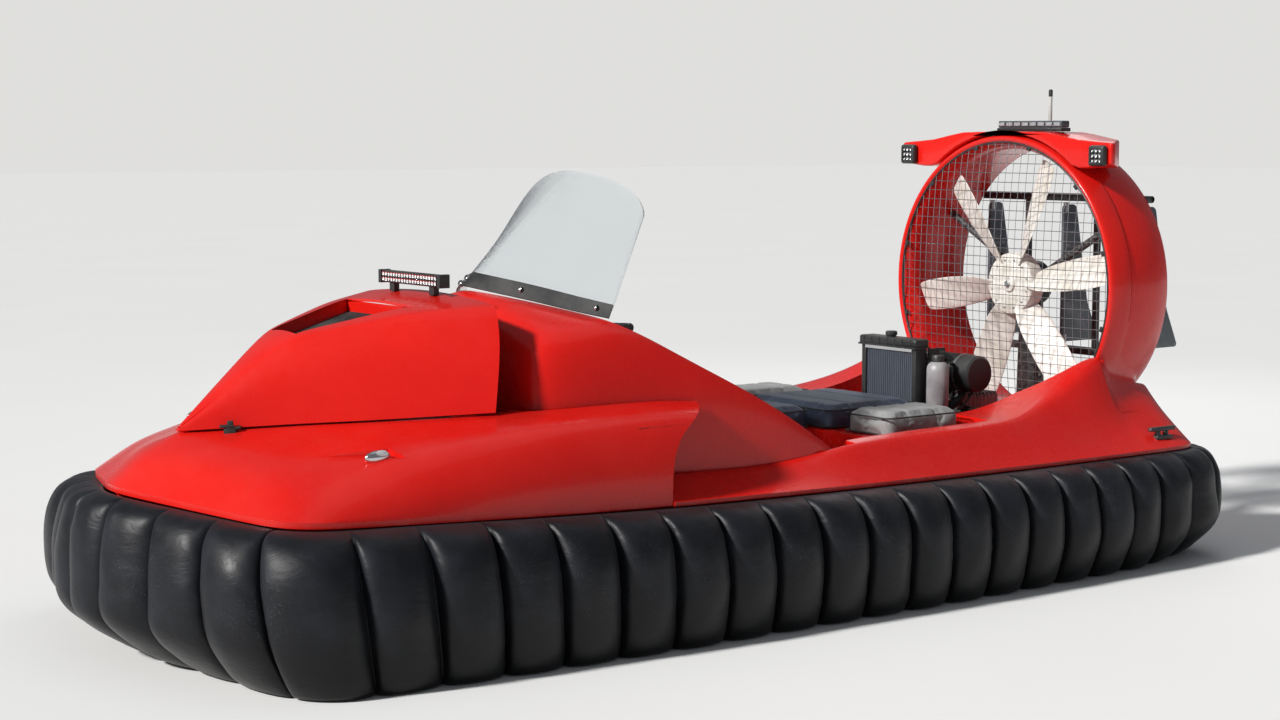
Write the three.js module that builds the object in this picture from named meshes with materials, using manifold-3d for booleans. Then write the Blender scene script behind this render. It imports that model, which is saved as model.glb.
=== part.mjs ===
// A four-seat rescue hovercraft: a red moulded hull over a black fingered skirt, a hinged front
// hood with an intake vent, a raked screen, straddle seats and a ducted six-blade fan at the stern.
// Millimetres. +Z is up, the bow points along -Y, the port side is +X, and Z = 0 is the floor.
import * as THREE from "three";
import Module from "manifold-3d";
import { mergeVertices } from "three/addons/utils/BufferGeometryUtils.js";

const wasm = await Module();
wasm.setup();
const { Vector2, Vector3, Matrix4 } = THREE;

// Driving dimensions
const touchGap = 0.4;        // between fixed pieces that rest on each other
const panTop = 430;          // top of the hull pan, where the deck mouldings sit
const panBottom = 100;       // underside of the hull pan
const floorHeight = 200;     // cockpit floor
const lipHeight = 22;        // moulded rub rail around the deck edge
const lipInset = 45;         // how far the deck steps in below the rub rail
const ductHeight = 1067;     // fan axis above the floor
const ductY = 1980;          // plane of the fan blades
const throatRadius = 572;
const bayBack = 1860;        // aft end of the engine bay
const ductTail = 2270;
const ductRadius = 640;
const bladeTip = 555;
const bladeCount = 6;
const hubRadius = 118;
const seatTop = 650;
const seatFoam = 90;
const shell = 14;            // thickness of the hood moulding
const centreY = 130;         // the middle of the whole length lies on the origin

// Finishes
const finish = (color, roughness, metalness = 0) =>
  new THREE.MeshStandardMaterial({ color, roughness, metalness });
const redGelcoat = finish(0xc8241c, 0.2);
const skirtRubber = finish(0x1c1d1f, 0.6);
const blackPlastic = finish(0x17181a, 0.5);
const greyVinyl = finish(0x8d9197, 0.6);
const creamPaint = finish(0xe9e2cf, 0.4);
const bareAlloy = finish(0xb4b7ba, 0.35, 0.9);
const darkSteel = finish(0x2b2d30, 0.5, 0.6);
const clearPlastic = finish(0xcfd8dc, 0.08);
const lampLens = finish(0xf2f4f5, 0.1);
const rudderAlloy = finish(0x4c555c, 0.45, 0.5);
const castGrey = finish(0x5b5e61, 0.6, 0.4);
const milkyPlastic = finish(0xe6e6e0, 0.4);

// The edge of the deck, port half from the bow to the stern. Columns: x, y, z of the rub rail,
// heading of its outward normal in degrees, how far the skirt bulges out of it, where the hem is,
// and how far the hem is swept aft along the rail
const rail = [
  [0, -2130, 555, -90, 130, -140, 0],
  [380, -2005, 530, -74, 165, -35, 15],
  [690, -1895, 510, -62, 190, 75, 90],
  [765, -1800, 505, -25, 200, 140, 75],
  [812, -1400, 492, -6, 200, 140, 50],
  [850, -900, 474, -3, 200, 130, 35],
  [868, -300, 456, 0, 196, 122, 30],
  [870, 900, 441, 0, 190, 112, 30],
  [856, 1750, 437, 4, 180, 80, 25],
  [825, 2175, 436, 32, 140, -20, 10],
  [715, 2262, 436, 70, 118, -40, 5],
  [350, 2287, 430, 84, 112, -50, 0],
  [0, 2295, 372, 90, 108, -55, 0],
].map(([x, y, z, heading, bulge, hem, sweep]) => ({ x, y, z, heading, bulge, hem, sweep }));
const bowCorner = 2;
const sternCorner = 9;

const group = new THREE.Group();
const assembly = new THREE.Group();
assembly.position.y = -centreY;
group.add(assembly);

function addPart(name, geometry, material) {
  const mesh = new THREE.Mesh(geometry, material);
  mesh.name = name;
  assembly.add(mesh);
  return mesh;
}

// A closed body through rings that all have the same number of points, with a fan over each end.
function loft(rings) {
  const count = rings[0].length;
  const points = rings.flat();
  const faces = [];
  for (let r = 0; r + 1 < rings.length; r++) {
    for (let i = 0; i < count; i++) {
      const a = r * count + i;
      const b = r * count + ((i + 1) % count);
      const c = b + count;
      const d = a + count;
      const short = points[a].distanceTo(points[c]) <= points[b].distanceTo(points[d]) + 1e-6;
      faces.push(...(short ? [[a, b, c], [a, c, d]] : [[a, b, d], [b, c, d]]));
    }
  }
  const last = (rings.length - 1) * count;
  const hub = points.length;
  for (const ring of [rings[0], rings.at(-1)]) {
    const middle = ring.reduce((sum, p) => sum.add(p), new Vector3()).divideScalar(count);
    points.push(middle);
  }
  for (let i = 0; i < count; i++) {
    const next = (i + 1) % count;
    faces.push([next, i, hub], [last + i, last + next, hub + 1]);
  }
  let volume = 0;
  for (const [a, b, c] of faces) volume += points[a].dot(points[b].clone().cross(points[c]));
  const outward = volume > 0 ? faces : faces.map(([a, b, c]) => [c, b, a]);
  const geometry = new THREE.BufferGeometry().setFromPoints(points);
  geometry.setIndex(outward.flat());
  return geometry;
}

// Solids for cutting and joining
function solid(geometry) {
  const bare = geometry.clone();
  bare.deleteAttribute("normal");
  bare.deleteAttribute("uv");
  const welded = mergeVertices(bare, 1e-3);
  return new wasm.Manifold(new wasm.Mesh({
    numProp: 3,
    vertProperties: Float32Array.from(welded.attributes.position.array),
    triVerts: Uint32Array.from(welded.index.array),
  }));
}

function geometryOf(body) {
  const { vertProperties, triVerts } = body.getMesh();
  const geometry = new THREE.BufferGeometry();
  geometry.setAttribute("position", new THREE.BufferAttribute(Float32Array.from(vertProperties), 3));
  geometry.setIndex(new THREE.BufferAttribute(Uint32Array.from(triVerts), 1));
  return geometry;
}

const joinAll = (pieces) => pieces.map(solid).reduce((sum, piece) => sum.add(piece));

// A box between two corners.
function block(x0, x1, y0, y1, z0, z1) {
  const box = new THREE.BoxGeometry(x1 - x0, y1 - y0, z1 - z0);
  return box.translate((x0 + x1) / 2, (y0 + y1) / 2, (z0 + z1) / 2);
}

// A flat outline in X and Y raised from z0 to z1.
function prism(outline, z0, z1) {
  const shape = new THREE.Shape(outline.map(([x, y]) => new Vector2(x, y)));
  const body = new THREE.ExtrudeGeometry(shape, { depth: z1 - z0, bevelEnabled: false });
  return body.translate(0, 0, z0);
}

// A flat outline in Y and Z pulled along X from x0 to x1.
function slab(outline, x0, x1) {
  const shape = new THREE.Shape(outline.map(([y, z]) => new Vector2(y, z)));
  const body = new THREE.ExtrudeGeometry(shape, { depth: x1 - x0, bevelEnabled: false });
  body.applyMatrix4(new Matrix4().makeBasis(
    new Vector3(0, 1, 0), new Vector3(0, 0, 1), new Vector3(1, 0, 0)));
  return body.translate(x0, 0, 0);
}

// A profile of radius and y turned around the fan axis.
function turnedAboutFan(profile, segments) {
  const body = new THREE.LatheGeometry(profile.map(([r, y]) => new Vector2(r, y)), segments);
  return body.translate(0, 0, ductHeight);
}

const mirrorX = (point) => new Vector3(-point.x, point.y, point.z);
const closeHalf = (half) => [...half, ...half.filter((p) => p.x > 0.5).reverse().map(mirrorX)];
const bothSides = (outline) => [
  ...outline, ...outline.filter(([x]) => x > 0).reverse().map(([x, y]) => [-x, y])];
const toRadians = THREE.MathUtils.degToRad;

function railNormal(row) {
  return new Vector3(Math.cos(toRadians(row.heading)), Math.sin(toRadians(row.heading)), 0);
}

function railPoint(row, inset, z) {
  return new Vector3(row.x, row.y, z).addScaledVector(railNormal(row), -inset);
}

// Skirt: a row of inflated fingers hung under the rub rail, with the hem on the floor
const fingerStations = [0, 0.12, 0.5, 0.88];
const creaseDepth = 0.3;
const skirtDrop = 4;         // top of the fingers below the rub rail

function skirtSection(place, fullness) {
  const { bulge, hem, sweep, z } = place;
  const out = bulge * fullness;
  const foot = hem * (0.6 + 0.4 * fullness);
  const section = [
    [-8, z - skirtDrop],
    [out * 0.5, z - 24],
    [out * 0.88, z * 0.8],
    [out, z * 0.56],
    [out * 0.86, z * 0.3],
    [foot + (out - foot) * 0.4, z * 0.09],
    [foot, 0],
    [foot - 55, 0],
    [Math.min(foot - 65, -60), z * 0.2],
    [-52, z * 0.5],
    [-38, z - 30],
  ];
  const normal = railNormal(place);
  const aft = new Vector3(-normal.y, normal.x, 0);
  return section.map(([n, height]) => new Vector3(place.x, place.y, height)
    .addScaledVector(normal, n).addScaledVector(aft, sweep * (1 - height / z)));
}

// Positions along the rail between two rows, as a smooth line with blended columns.
function railLine(rows) {
  const curve = new THREE.CatmullRomCurve3(rows.map((row) => new Vector3(row.x, row.y, row.z)),
    false, "centripetal");
  const lengths = curve.getLengths(400);
  const marks = rows.map((_, i) => lengths[Math.round((400 * i) / (rows.length - 1))]);
  const total = lengths.at(-1);
  return (fraction) => {
    const s = Math.min(fraction * total, total - 1e-6);
    const i = Math.max(marks.findIndex((mark) => mark > s) - 1, 0);
    const t = (s - marks[i]) / (marks[i + 1] - marks[i]);
    const point = curve.getPointAt(Math.min(fraction, 1));
    const mix = (key) => rows[i][key] * (1 - t) + rows[i + 1][key] * t;
    return {
      x: point.x, y: point.y, z: point.z,
      heading: mix("heading"), bulge: mix("bulge"), hem: mix("hem"), sweep: mix("sweep"),
    };
  };
}

// The fingers get narrower from the first to the last by the given ratio.
function skirt(rows, fingers, taper) {
  const line = railLine(rows);
  const grow = (k) => (k - ((1 - taper) * k * k) / (2 * fingers)) / (fingers - ((1 - taper) * fingers) / 2);
  const rings = [];
  for (let finger = 0; finger < fingers; finger++) {
    for (const station of fingerStations) {
      const swell = Math.sin(Math.PI * station) ** 0.5;
      rings.push(skirtSection(line(grow(finger + station)), 1 - creaseDepth * (1 - swell)));
    }
  }
  rings.push(skirtSection(line(1), 1 - creaseDepth));
  return loft(rings);
}

const mirrorRow = (row) => ({ ...row, x: -row.x, heading: 180 - row.heading, sweep: -row.sweep });
const portRows = rail.slice(bowCorner, sternCorner + 1);
const bowRows = [...rail.slice(1, bowCorner + 1).reverse().map(mirrorRow).map((row) => (
  { ...row, heading: row.heading - 360 })), ...rail.slice(0, bowCorner + 1)];
const sternRows = [...rail.slice(sternCorner), ...rail.slice(sternCorner, -1).reverse().map(mirrorRow)];
const sideFingers = 20;
const endFingers = 9;
const endGap = 0.0006;       // a sliver of the run is left open where two runs of fingers meet

function trimmed(rows) {
  const line = railLine(rows);
  return [line(endGap), ...rows.slice(1, -1), line(1 - endGap)];
}

addPart("skirt_port", skirt(trimmed(portRows), sideFingers, 0.8), skirtRubber);
addPart("skirt_starboard", skirt(trimmed(portRows).map(mirrorRow), sideFingers, 0.8), skirtRubber);
addPart("skirt_bow", skirt(trimmed(bowRows), endFingers, 1), skirtRubber);
addPart("skirt_stern", skirt(trimmed(sternRows), endFingers, 1), skirtRubber);

// Hull pan: a shallow tub inside the skirt, on three landing skids, with the footwell cut in
const panSections = [[270, panBottom], [190, 180], [100, 285], [60, panTop]];
const panRings = panSections.map(([inset, z]) => closeHalf(rail.map((row) => railPoint(row, inset, z))));
const wellHalfWidth = 590;
const wellFront = -330;
const wellBack = 1185;
const ductBed = turnedAboutFan([[0, 1500], [606, 1500], [612, 1860], [612, 1890], [ductRadius + 4, 1890],
  [ductRadius + 4, 2400], [0, 2400]], 96);
const pan = solid(loft(panRings))
  .subtract(solid(block(-wellHalfWidth, wellHalfWidth, wellFront, wellBack, floorHeight, 600)))
  .subtract(solid(ductBed));
addPart("hull_pan", geometryOf(pan), redGelcoat);

const skidPlaces = [["skid_port", 400], ["skid_centre", 0], ["skid_starboard", -400]];
for (const [name, x] of skidPlaces) {
  const skid = slab([[-1500, 0], [1800, 0], [1860, 40], [1860, panBottom - touchGap],
    [-1620, panBottom - touchGap], [-1620, 60]], x - 40, x + 40);
  addPart(name, skid, blackPlastic);
}

// Plan of the cowl around the screen and of the cockpit inside it, port half from the front
const cowlPlan = [[0, -872], [545, -868], [578, -820], [606, -500], [640, -270], [682, 0], [702, 450]];
const cockpitPlan = [[0, -720], [455, -470], [575, -300], [635, -60], [662, 120], [662, 460]];
const grownPlan = (plan, extra) => plan.map(([x, y], i) => [x === 0 ? 0 : x + extra, i < 2 ? y - extra : y]);

// Forebody: everything forward of the cockpit sides. Each ring has one row of x, y, z for each
// of the seven places: stem, front, two at the corner, side, side at the cowl, aft end
const foreRail = [0, 1, 2, 3, 4, 5].map((i) => rail[i]);
foreRail.push({ ...rail[6], x: 868, y: -100, z: 453 });
const foreMid = [[0, -2085, 624], [350, -1962, 594], [650, -1848, 573], [735, -1748, 573],
  [815, -1400, 604], [845, -900, 606], [848, -100, 600]];
const foreFold = [[0, -2018, 674], [315, -1902, 651], [565, -1787, 641], [658, -1670, 648],
  [775, -1400, 700], [806, -900, 746], [802, -100, 768]];
const foreShelf = [[0, -1965, 702], [240, -1837, 693], [440, -1692, 693], [535, -1580, 703],
  [700, -1390, 742], [746, -900, 773], [744, -100, 788]];
const foreSeam = [[0, -1908, 726], [78, -1802, 731], [172, -1640, 742], [335, -1380, 754],
  [478, -1150, 766], [560, -1010, 776], [590, -100, 792]];
const asPoints = (rows) => rows.map(([x, y, z]) => new Vector3(x, y, z));
const foreRings = [
  foreRail.map((row) => railPoint(row, lipInset, panTop + touchGap)),
  foreRail.map((row) => railPoint(row, lipInset, row.z)),
  foreRail.map((row) => railPoint(row, 0, row.z)),
  foreRail.map((row) => railPoint(row, 0, row.z + lipHeight)),
  asPoints(foreMid),
  asPoints(foreFold),
  asPoints(foreShelf),
  asPoints(foreSeam),
].map(closeHalf);
// What lies aft of the arched edge where the moulding ends, as y and z
const archEdge = [[-90, 900], [-150, 789], [-225, 781], [-318, 763], [-390, 726], [-445, 684], [-484, 625],
  [-500, 560], [-508, 400], [100, 400], [100, 900]];
const pocketPlan = [[560, -735], [772, -735], [806, -690], [812, 0], [560, 0]];
const pocketLow = 505;
const pocketHigh = 728;
const bayPlan = [[0, -1640], [130, -1540], [300, -1280], [430, -1080], [500, -985], [500, -900]];
let forebody = solid(loft(foreRings))
  .subtract(solid(prism(bothSides([...grownPlan(cowlPlan, touchGap)]), panTop - 5, 1300)))
  .subtract(solid(slab(archEdge, -1000, 1000)))
  .subtract(solid(prism(bothSides(bayPlan), 500, 900)));
for (const side of [1, -1]) {
  const plan = pocketPlan.map(([x, y]) => [side * x, y]);
  forebody = forebody.subtract(solid(prism(side > 0 ? plan : plan.reverse(), pocketLow, pocketHigh)));
}
// The moulding is one piece on the craft. Here the two arms beside the cowl are bodies of their own
const armStart = -868;
const forward = solid(block(-1000, 1000, -2300, armStart, 300, 1000));
addPart("forebody", geometryOf(forebody.intersect(forward)), redGelcoat);
for (const [name, x0, x1] of [["side_arm_port", 300, 1000], ["side_arm_starboard", -1000, -300]]) {
  const arm = solid(block(x0, x1, armStart + touchGap, 0, 300, 1000));
  addPart(name, geometryOf(forebody.intersect(arm)), redGelcoat);
}

// Cowl: carries the screen and runs aft as the coaming on both sides of the cockpit
const cowlSeam = [[0, -872, 790], [545, -868, 788], [578, -820, 788], [606, -500, 790],
  [640, -270, 786], [682, 0, 740], [702, 450, 480]];
const cowlEdge = [[0, -860, 1130], [430, -850, 1050], [490, -800, 1046], [535, -500, 1038],
  [622, -270, 918], [674, 0, 778], [698, 450, 490]];
const cowlCrown = [[0, -800, 1158], [290, -640, 1108], [430, -550, 1078], [502, -495, 1058],
  [602, -270, 930], [664, 0, 786], [690, 450, 492]];
const cowlRings = [
  asPoints(cowlPlan.map(([x, y]) => [x, y, panTop + touchGap])),
  asPoints(cowlSeam), asPoints(cowlEdge), asPoints(cowlCrown)].map(closeHalf);
const cowl = solid(loft(cowlRings)).subtract(solid(prism(bothSides(cockpitPlan), 300, 1300)));
addPart("cowl", geometryOf(cowl), redGelcoat);

// Dash: fills the nose of the cockpit under the screen and carries the steering column
const dashTop = 905;
const dashBase = 700;
const dashPlan = [[0, -716], [451, -468], [560, -318], [560, -300], [180, -290], [0, -290]];
addPart("dash_panel", prism(bothSides(dashPlan), dashBase, dashTop), blackPlastic);

// Screen: one clear sheet bent round the apex. Columns: x and y and z at the foot, then at the top
const screenRows = [
  [496, -500, 1066, 398, -292, 1500],
  [400, -566, 1086, 330, -300, 1530],
  [250, -660, 1120, 220, -312, 1566],
  [110, -742, 1148, 100, -328, 1590],
  [0, -790, 1166, 0, -340, 1600],
];
const screenSheet = 5;

const stripTop = 0.14;
const stripGap = 4;

// A band of the screen's surface between the given fractions of its height, moved forward.
function screenBand(rows, thickness, forward, heights) {
  const mirrored = rows.slice(0, -1).reverse().map(([a, b, c, d, e, f]) => [-a, b, c, -d, e, f]);
  return loft([...rows, ...mirrored].map(([x0, y0, z0, x1, y1, z1]) => {
    const at = (t, shift) => new Vector3(
      x0 + (x1 - x0) * t, y0 + (y1 - y0) * t - shift, z0 + (z1 - z0) * t);
    const outside = heights.map((t) => at(t, forward));
    const inside = heights.map((t) => at(t, forward - thickness)).reverse();
    return [...outside, ...inside];
  }));
}
addPart("windscreen", screenBand(screenRows, screenSheet, 0, [0.03, stripTop, 1]), clearPlastic);
addPart("screen_strip", screenBand(screenRows, 8, 8 + stripGap, [0.03, stripTop]), blackPlastic);

// Aft deck: side decks, the moulding round the engine bay and the cradle of the duct.
// Columns: y, rail x and z, middle of the slope x and z, inner edge x and z
const deckRows = [
  [-499, 865, 462, 786, 500, 708, 536],
  [0, 869, 452, 786, 495, 712, 532],
  [300, 870, 447, 790, 502, 712, 566],
  [450, 870, 445, 792, 512, 714, 600],
  [1200, 866, 439, 790, 512, 706, 604],
  [1330, 865, 438, 784, 512, 676, 620],
  [1460, 863, 438, 772, 514, 648, 646],
  [1580, 861, 437, 756, 516, 622, 682],
  [1690, 859, 437, 736, 522, 604, 726],
  [1780, 857, 437, 714, 530, 592, 770],
  [1850, 856, 437, 694, 540, 582, 800],
  [1890, 855, 437, 682, 546, 576, 806],
  [1940, 853, 437, 668, 552, 568, 764],
  [2020, 849, 437, 652, 560, 562, 728],
  [2110, 843, 436, 644, 560, 558, 716],
  [2170, 826, 436, 638, 558, 553, 708],
  [2212, 794, 436, 632, 555, 549, 702],
  [2245, 745, 436, 620, 551, 545, 697],
  [2275, 650, 436, 590, 544, 538, 690],
];
const deckRings = deckRows.map(([y, xRail, zRail, xMid, zMid, xTop, zTop]) => closeHalf([
  [0, panTop + touchGap],
  [xRail - lipInset, panTop + touchGap],
  [xRail - lipInset, zRail],
  [xRail, zRail],
  [xRail, zRail + lipHeight],
  [xMid, zMid],
  [xTop + 8, zTop - 14],
  [xTop - 8, zTop],
  [0, zTop],
].map(([x, z]) => new Vector3(x, y, z))));
const bayHalfWidth = 455;
const bulkhead = 30;         // wall between the cockpit and the engine bay
const cockpitWell = [[0, -600], [655, -600], [655, wellBack], [0, wellBack]];
const bayFront = wellBack + bulkhead;
const engineBay = [[0, bayFront], [bayHalfWidth, bayFront], [bayHalfWidth, bayBack], [0, bayBack]];
const steppedIn = closeHalf(rail.map((row) => railPoint(row, lipInset, 0))).map(({ x, y }) => [x, y]);
const sternStep = solid(block(-1000, 1000, 1900, 2400, 300, rail[sternCorner].z))
  .subtract(solid(prism(steppedIn, 300, 500)));
const deckAft = solid(loft(deckRings))
  .subtract(sternStep)
  .subtract(solid(prism(bothSides(cockpitWell), 300, 1200)))
  .subtract(solid(prism(bothSides(engineBay), 300, 1200)))
  .subtract(solid(prism(bothSides(grownPlan(cowlPlan, touchGap)), 300, 1200)))
  .subtract(solid(ductBed));
addPart("deck_aft", geometryOf(deckAft), redGelcoat);

// Hood: a lid over the lift fan bay, hinged at its rear top edge. Columns: y at the foot, y at
// the top, half-width at the foot and at the top, height of the foot, top edge and crown
const hoodRows = [
  [-1892, -1880, 14, 6, 734, 752, 758],
  [-1700, -1690, 122, 60, 744, 905, 914],
  [-1548, -1530, 212, 104, 752, 1030, 1042],
  [-1390, -1380, 318, 196, 760, 1066, 1078],
  [-1180, -1175, 446, 300, 772, 1112, 1128],
  [-1010, -935, 556, 436, 783, 1136, 1160],
];

function hoodLoft(inset, drop, rows) {
  return loft(rows.map(([yFoot, yTop, wFoot, wTop, zFoot, zTop, zCrown]) => {
    const foot = Math.max(wFoot - inset, 1.5);
    const top = Math.max(wTop - inset, 1);
    const edge = zTop - drop;
    return closeHalf([
      new Vector3(foot, yFoot, zFoot - (drop ? 60 : 0)),
      new Vector3(foot * 0.55 + top * 0.45 + wFoot * 0.03, yFoot * 0.4 + yTop * 0.6, zFoot + (edge - zFoot) * 0.66),
      new Vector3(top, yTop, edge - 8),
      new Vector3(top * 0.86, yTop, edge + 2),
      new Vector3(0, yTop, zCrown - drop),
    ]);
  }));
}
const hoodInner = [...hoodRows.slice(0, 1).map((row) => row.map((v, i) => (i < 2 ? v + 60 : v))),
  ...hoodRows.slice(1)];
const lastRow = hoodRows.at(-1);
hoodInner.push(lastRow.map((v, i) => (i < 2 ? v + 200 : v)));
const ventPlan = [[0, -1500], [88, -1500], [225, -1130], [0, -1130]];
const hood = solid(hoodLoft(0, 0, hoodRows))
  .subtract(solid(hoodLoft(shell, shell, hoodInner)))
  .subtract(solid(prism(bothSides(ventPlan), 900, 1300)));
addPart("hood", geometryOf(hood), redGelcoat);

// Perforated floor of the vent, hung on the inside of the hood
const grilleRows = [[-1505, 78, 996], [-1115, 220, 1078]];
const grille = loft(grilleRows.map(([y, half, z]) => [
  new Vector3(-half, y, z), new Vector3(half, y, z),
  new Vector3(half, y, z + 6), new Vector3(-half, y, z + 6)]));
addPart("hood_grille", grille, blackPlastic);

// Light bar on the hood, on two feet
const lightBarY = -990;
const bowBar = joinAll([
  block(-200, 200, lightBarY - 24, lightBarY + 24, 1176, 1226),
  block(-150, -120, lightBarY - 12, lightBarY + 12, 1162, 1180),
  block(120, 150, lightBarY - 12, lightBarY + 12, 1162, 1180),
]);
addPart("bow_light_bar", geometryOf(bowBar), blackPlastic);

// Lift engine: the heavy mass inside the bay under the hood
addPart("lift_engine", block(-170, 170, -1330, -950, 500 + touchGap, 860), castGrey);

// Steering: a column out of the dash and a handlebar with two grips
const columnTilt = 20;
const columnFoot = new Vector3(0, -368, dashTop + 12);
const columnAxis = new Vector3(0, Math.sin(toRadians(columnTilt)), Math.cos(toRadians(columnTilt)));

// A rod between two points, with an even number of sides.
function rod(from, to, radius, sides) {
  const along = to.clone().sub(from);
  const body = new THREE.CylinderGeometry(radius, radius, along.length(), sides);
  const turn = new THREE.Quaternion().setFromUnitVectors(new Vector3(0, 1, 0), along.clone().normalize());
  body.applyQuaternion(turn);
  return body.translate((from.x + to.x) / 2, (from.y + to.y) / 2, (from.z + to.z) / 2);
}
const alongColumn = (distance) => columnFoot.clone().addScaledVector(columnAxis, distance);
addPart("steering_column", rod(alongColumn(0), alongColumn(46), 28, 20), darkSteel);
const barCentre = alongColumn(86);
const barEnd = new Vector3(330, 46, 18);
const barKnee = new Vector3(120, 0, 10);
const handlebar = joinAll([
  rod(alongColumn(47), alongColumn(104), 22, 20),
  ...[1, -1].flatMap((side) => {
    const knee = barCentre.clone().add(new Vector3(side * barKnee.x, barKnee.y, barKnee.z));
    const end = barCentre.clone().add(new Vector3(side * barEnd.x, barEnd.y, barEnd.z));
    const gripStart = knee.clone().lerp(end, 0.45);
    return [rod(barCentre, knee, 12, 12), rod(knee, end, 12, 12), rod(gripStart, end, 17, 12)];
  }),
]);
addPart("handlebar", geometryOf(handlebar), blackPlastic);

// Seats: a straddle bench, a rear seat behind it and one seat on each side
const seatBase = joinAll([
  block(-180, 180, -30, 695, floorHeight + touchGap, seatTop - seatFoam - touchGap),
  block(-575, 575, 700, 1170, floorHeight + touchGap, seatTop - seatFoam - touchGap),
  block(-180, 180, 690, 705, floorHeight + touchGap, seatTop - seatFoam - touchGap),
]);
addPart("seat_base", geometryOf(seatBase), redGelcoat);

const cushions = [
  ["seat_front", -200, 200, -50, 690],
  ["seat_rear", -270, 270, 705, 1185],
  ["seat_port", 315, 585, 725, 1130],
  ["seat_starboard", -585, -315, 725, 1130],
];
const cushionCorner = 36;
for (const [name, x0, x1, y0, y1] of cushions) {
  const outline = new THREE.Shape();
  outline.moveTo(x0 + cushionCorner, y0);
  outline.lineTo(x1 - cushionCorner, y0);
  outline.quadraticCurveTo(x1, y0, x1, y0 + cushionCorner);
  outline.lineTo(x1, y1 - cushionCorner);
  outline.quadraticCurveTo(x1, y1, x1 - cushionCorner, y1);
  outline.lineTo(x0 + cushionCorner, y1);
  outline.quadraticCurveTo(x0, y1, x0, y1 - cushionCorner);
  outline.lineTo(x0, y0 + cushionCorner);
  outline.quadraticCurveTo(x0, y0, x0 + cushionCorner, y0);
  const cushion = new THREE.ExtrudeGeometry(outline, { depth: seatFoam, bevelEnabled: false, curveSegments: 4 });
  addPart(name, cushion.translate(0, 0, seatTop - seatFoam), greyVinyl);
}

// Engine bay: bed, engine, radiator with its tank, coolant bottle and air filter
const bedTop = panTop + 40;
const bed = joinAll([
  block(-230, -150, 1250, 1760, panTop + touchGap, bedTop),
  block(150, 230, 1250, 1760, panTop + touchGap, bedTop),
  block(-230, 230, 1270, 1330, panTop + touchGap, bedTop),
  block(-230, 230, 1690, 1740, panTop + touchGap, bedTop),
]);
addPart("engine_bed", geometryOf(bed), darkSteel);
addPart("engine_block", block(-200, 190, 1440, 1740, bedTop + touchGap, 640), castGrey);

const radiator = joinAll([
  block(-160, 160, 1262, 1322, bedTop + touchGap, 845),
  block(-172, 172, 1250, 1334, 838, 876),
  block(-40, 10, 1276, 1308, 870, 900),
]);
addPart("radiator", geometryOf(radiator), darkSteel);

const bottle = rod(new Vector3(226, 1325, bedTop + touchGap), new Vector3(226, 1325, 790), 46, 20);
const bottleCap = rod(new Vector3(226, 1325, 780), new Vector3(226, 1325, 815), 26, 20);
addPart("expansion_bottle", geometryOf(joinAll([bottle, bottleCap])), milkyPlastic);

const filterAxis = { y: 1490, z: 732 };
const filterCan = rod(new Vector3(-60, filterAxis.y, filterAxis.z), new Vector3(300, filterAxis.y, filterAxis.z), 78, 28);
const filterFoot = block(40, 120, 1450, 1530, 640 + touchGap, 700);
addPart("air_filter", geometryOf(joinAll([filterCan, filterFoot])), blackPlastic);

// Duct: a ring of wing section around the fan
const guardSeat = 605.3;     // a rebate in the mouth holds the guard's rim
const ductProfile = [
  [throatRadius, 1985], [577, 1955], [587, 1930], [599, 1913], [guardSeat, 1908.5], [guardSeat, 1900],
  [612, 1896], [622, 1895], [631, 1899], [637, 1908], [ductRadius, 1925], [ductRadius, 2110],
  [635, 2170], [624, 2225], [604, ductTail], [594, ductTail], [581, 2190], [throatRadius, 2100],
  [throatRadius, 1985],
];
addPart("duct", turnedAboutFan(ductProfile, 72), redGelcoat);

// Roof fairing over the duct, with a round lamp at each end
const roofHalf = 610;
const podLow = 1565;
const roofUnderside = [];
const roofSteps = 20;
for (let i = 0; i <= roofSteps; i++) {
  const x = -roofHalf + (2 * roofHalf * i) / roofSteps;
  const hug = Math.sqrt((ductRadius + 4) ** 2 - x * x) + ductHeight;
  roofUnderside.push([x, Math.max(hug, podLow)]);
}
const roofCrown = 1715;
const podHigh = 1668;
const roofTop = [[roofHalf, podHigh], [420, 1682], [230, roofCrown], [-230, roofCrown], [-420, 1682],
  [-roofHalf, podHigh]];
const roofShape = new THREE.Shape([...roofUnderside, ...roofTop].map(([x, z]) => new Vector2(x, z)));
const roofFront = 1900;
const roofBack = 2150;
const roof = new THREE.ExtrudeGeometry(roofShape, { depth: roofBack - roofFront, bevelEnabled: false });
roof.applyMatrix4(new Matrix4().makeBasis(new Vector3(1, 0, 0), new Vector3(0, 0, 1), new Vector3(0, -1, 0)));
roof.translate(0, roofBack, 0);
const roofPlan = [[0, roofFront], [roofHalf, roofFront], [roofHalf, roofFront + 25], [430, roofBack], [0, roofBack]];
const roofBody = solid(roof).intersect(solid(prism(bothSides(roofPlan), 1500, 1800)));
const aerialPad = block(-190, -110, 2060, 2130, roofCrown - 5, roofCrown + 6);
addPart("duct_roof", geometryOf(roofBody.add(solid(aerialPad))), redGelcoat);

const lampX = 552;
const lampZ = 1617;
for (const [name, side] of [["scene_light_port", 1], ["scene_light_starboard", -1]]) {
  const lamp = rod(new Vector3(side * lampX, roofFront - 62, lampZ),
    new Vector3(side * lampX, roofFront - touchGap, lampZ), 44, 24);
  addPart(name, lamp, blackPlastic);
}

// Warning bar and whip on the roof
addPart("warning_bar", block(-90, 280, 1960, 2020, roofCrown + touchGap, roofCrown + 46), lampLens);
addPart("antenna", rod(new Vector3(73, 2115, roofCrown + touchGap), new Vector3(73, 2115, 1894), 9, 12), milkyPlastic);

// Fan: a hub with six paddle blades on the fan axis. Columns: radius, chord, pitch in degrees
const bladeRows = [[80, 96, -46], [200, 140, -36], [380, 160, -26], [500, 150, -21], [bladeTip, 112, -19]];

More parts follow.
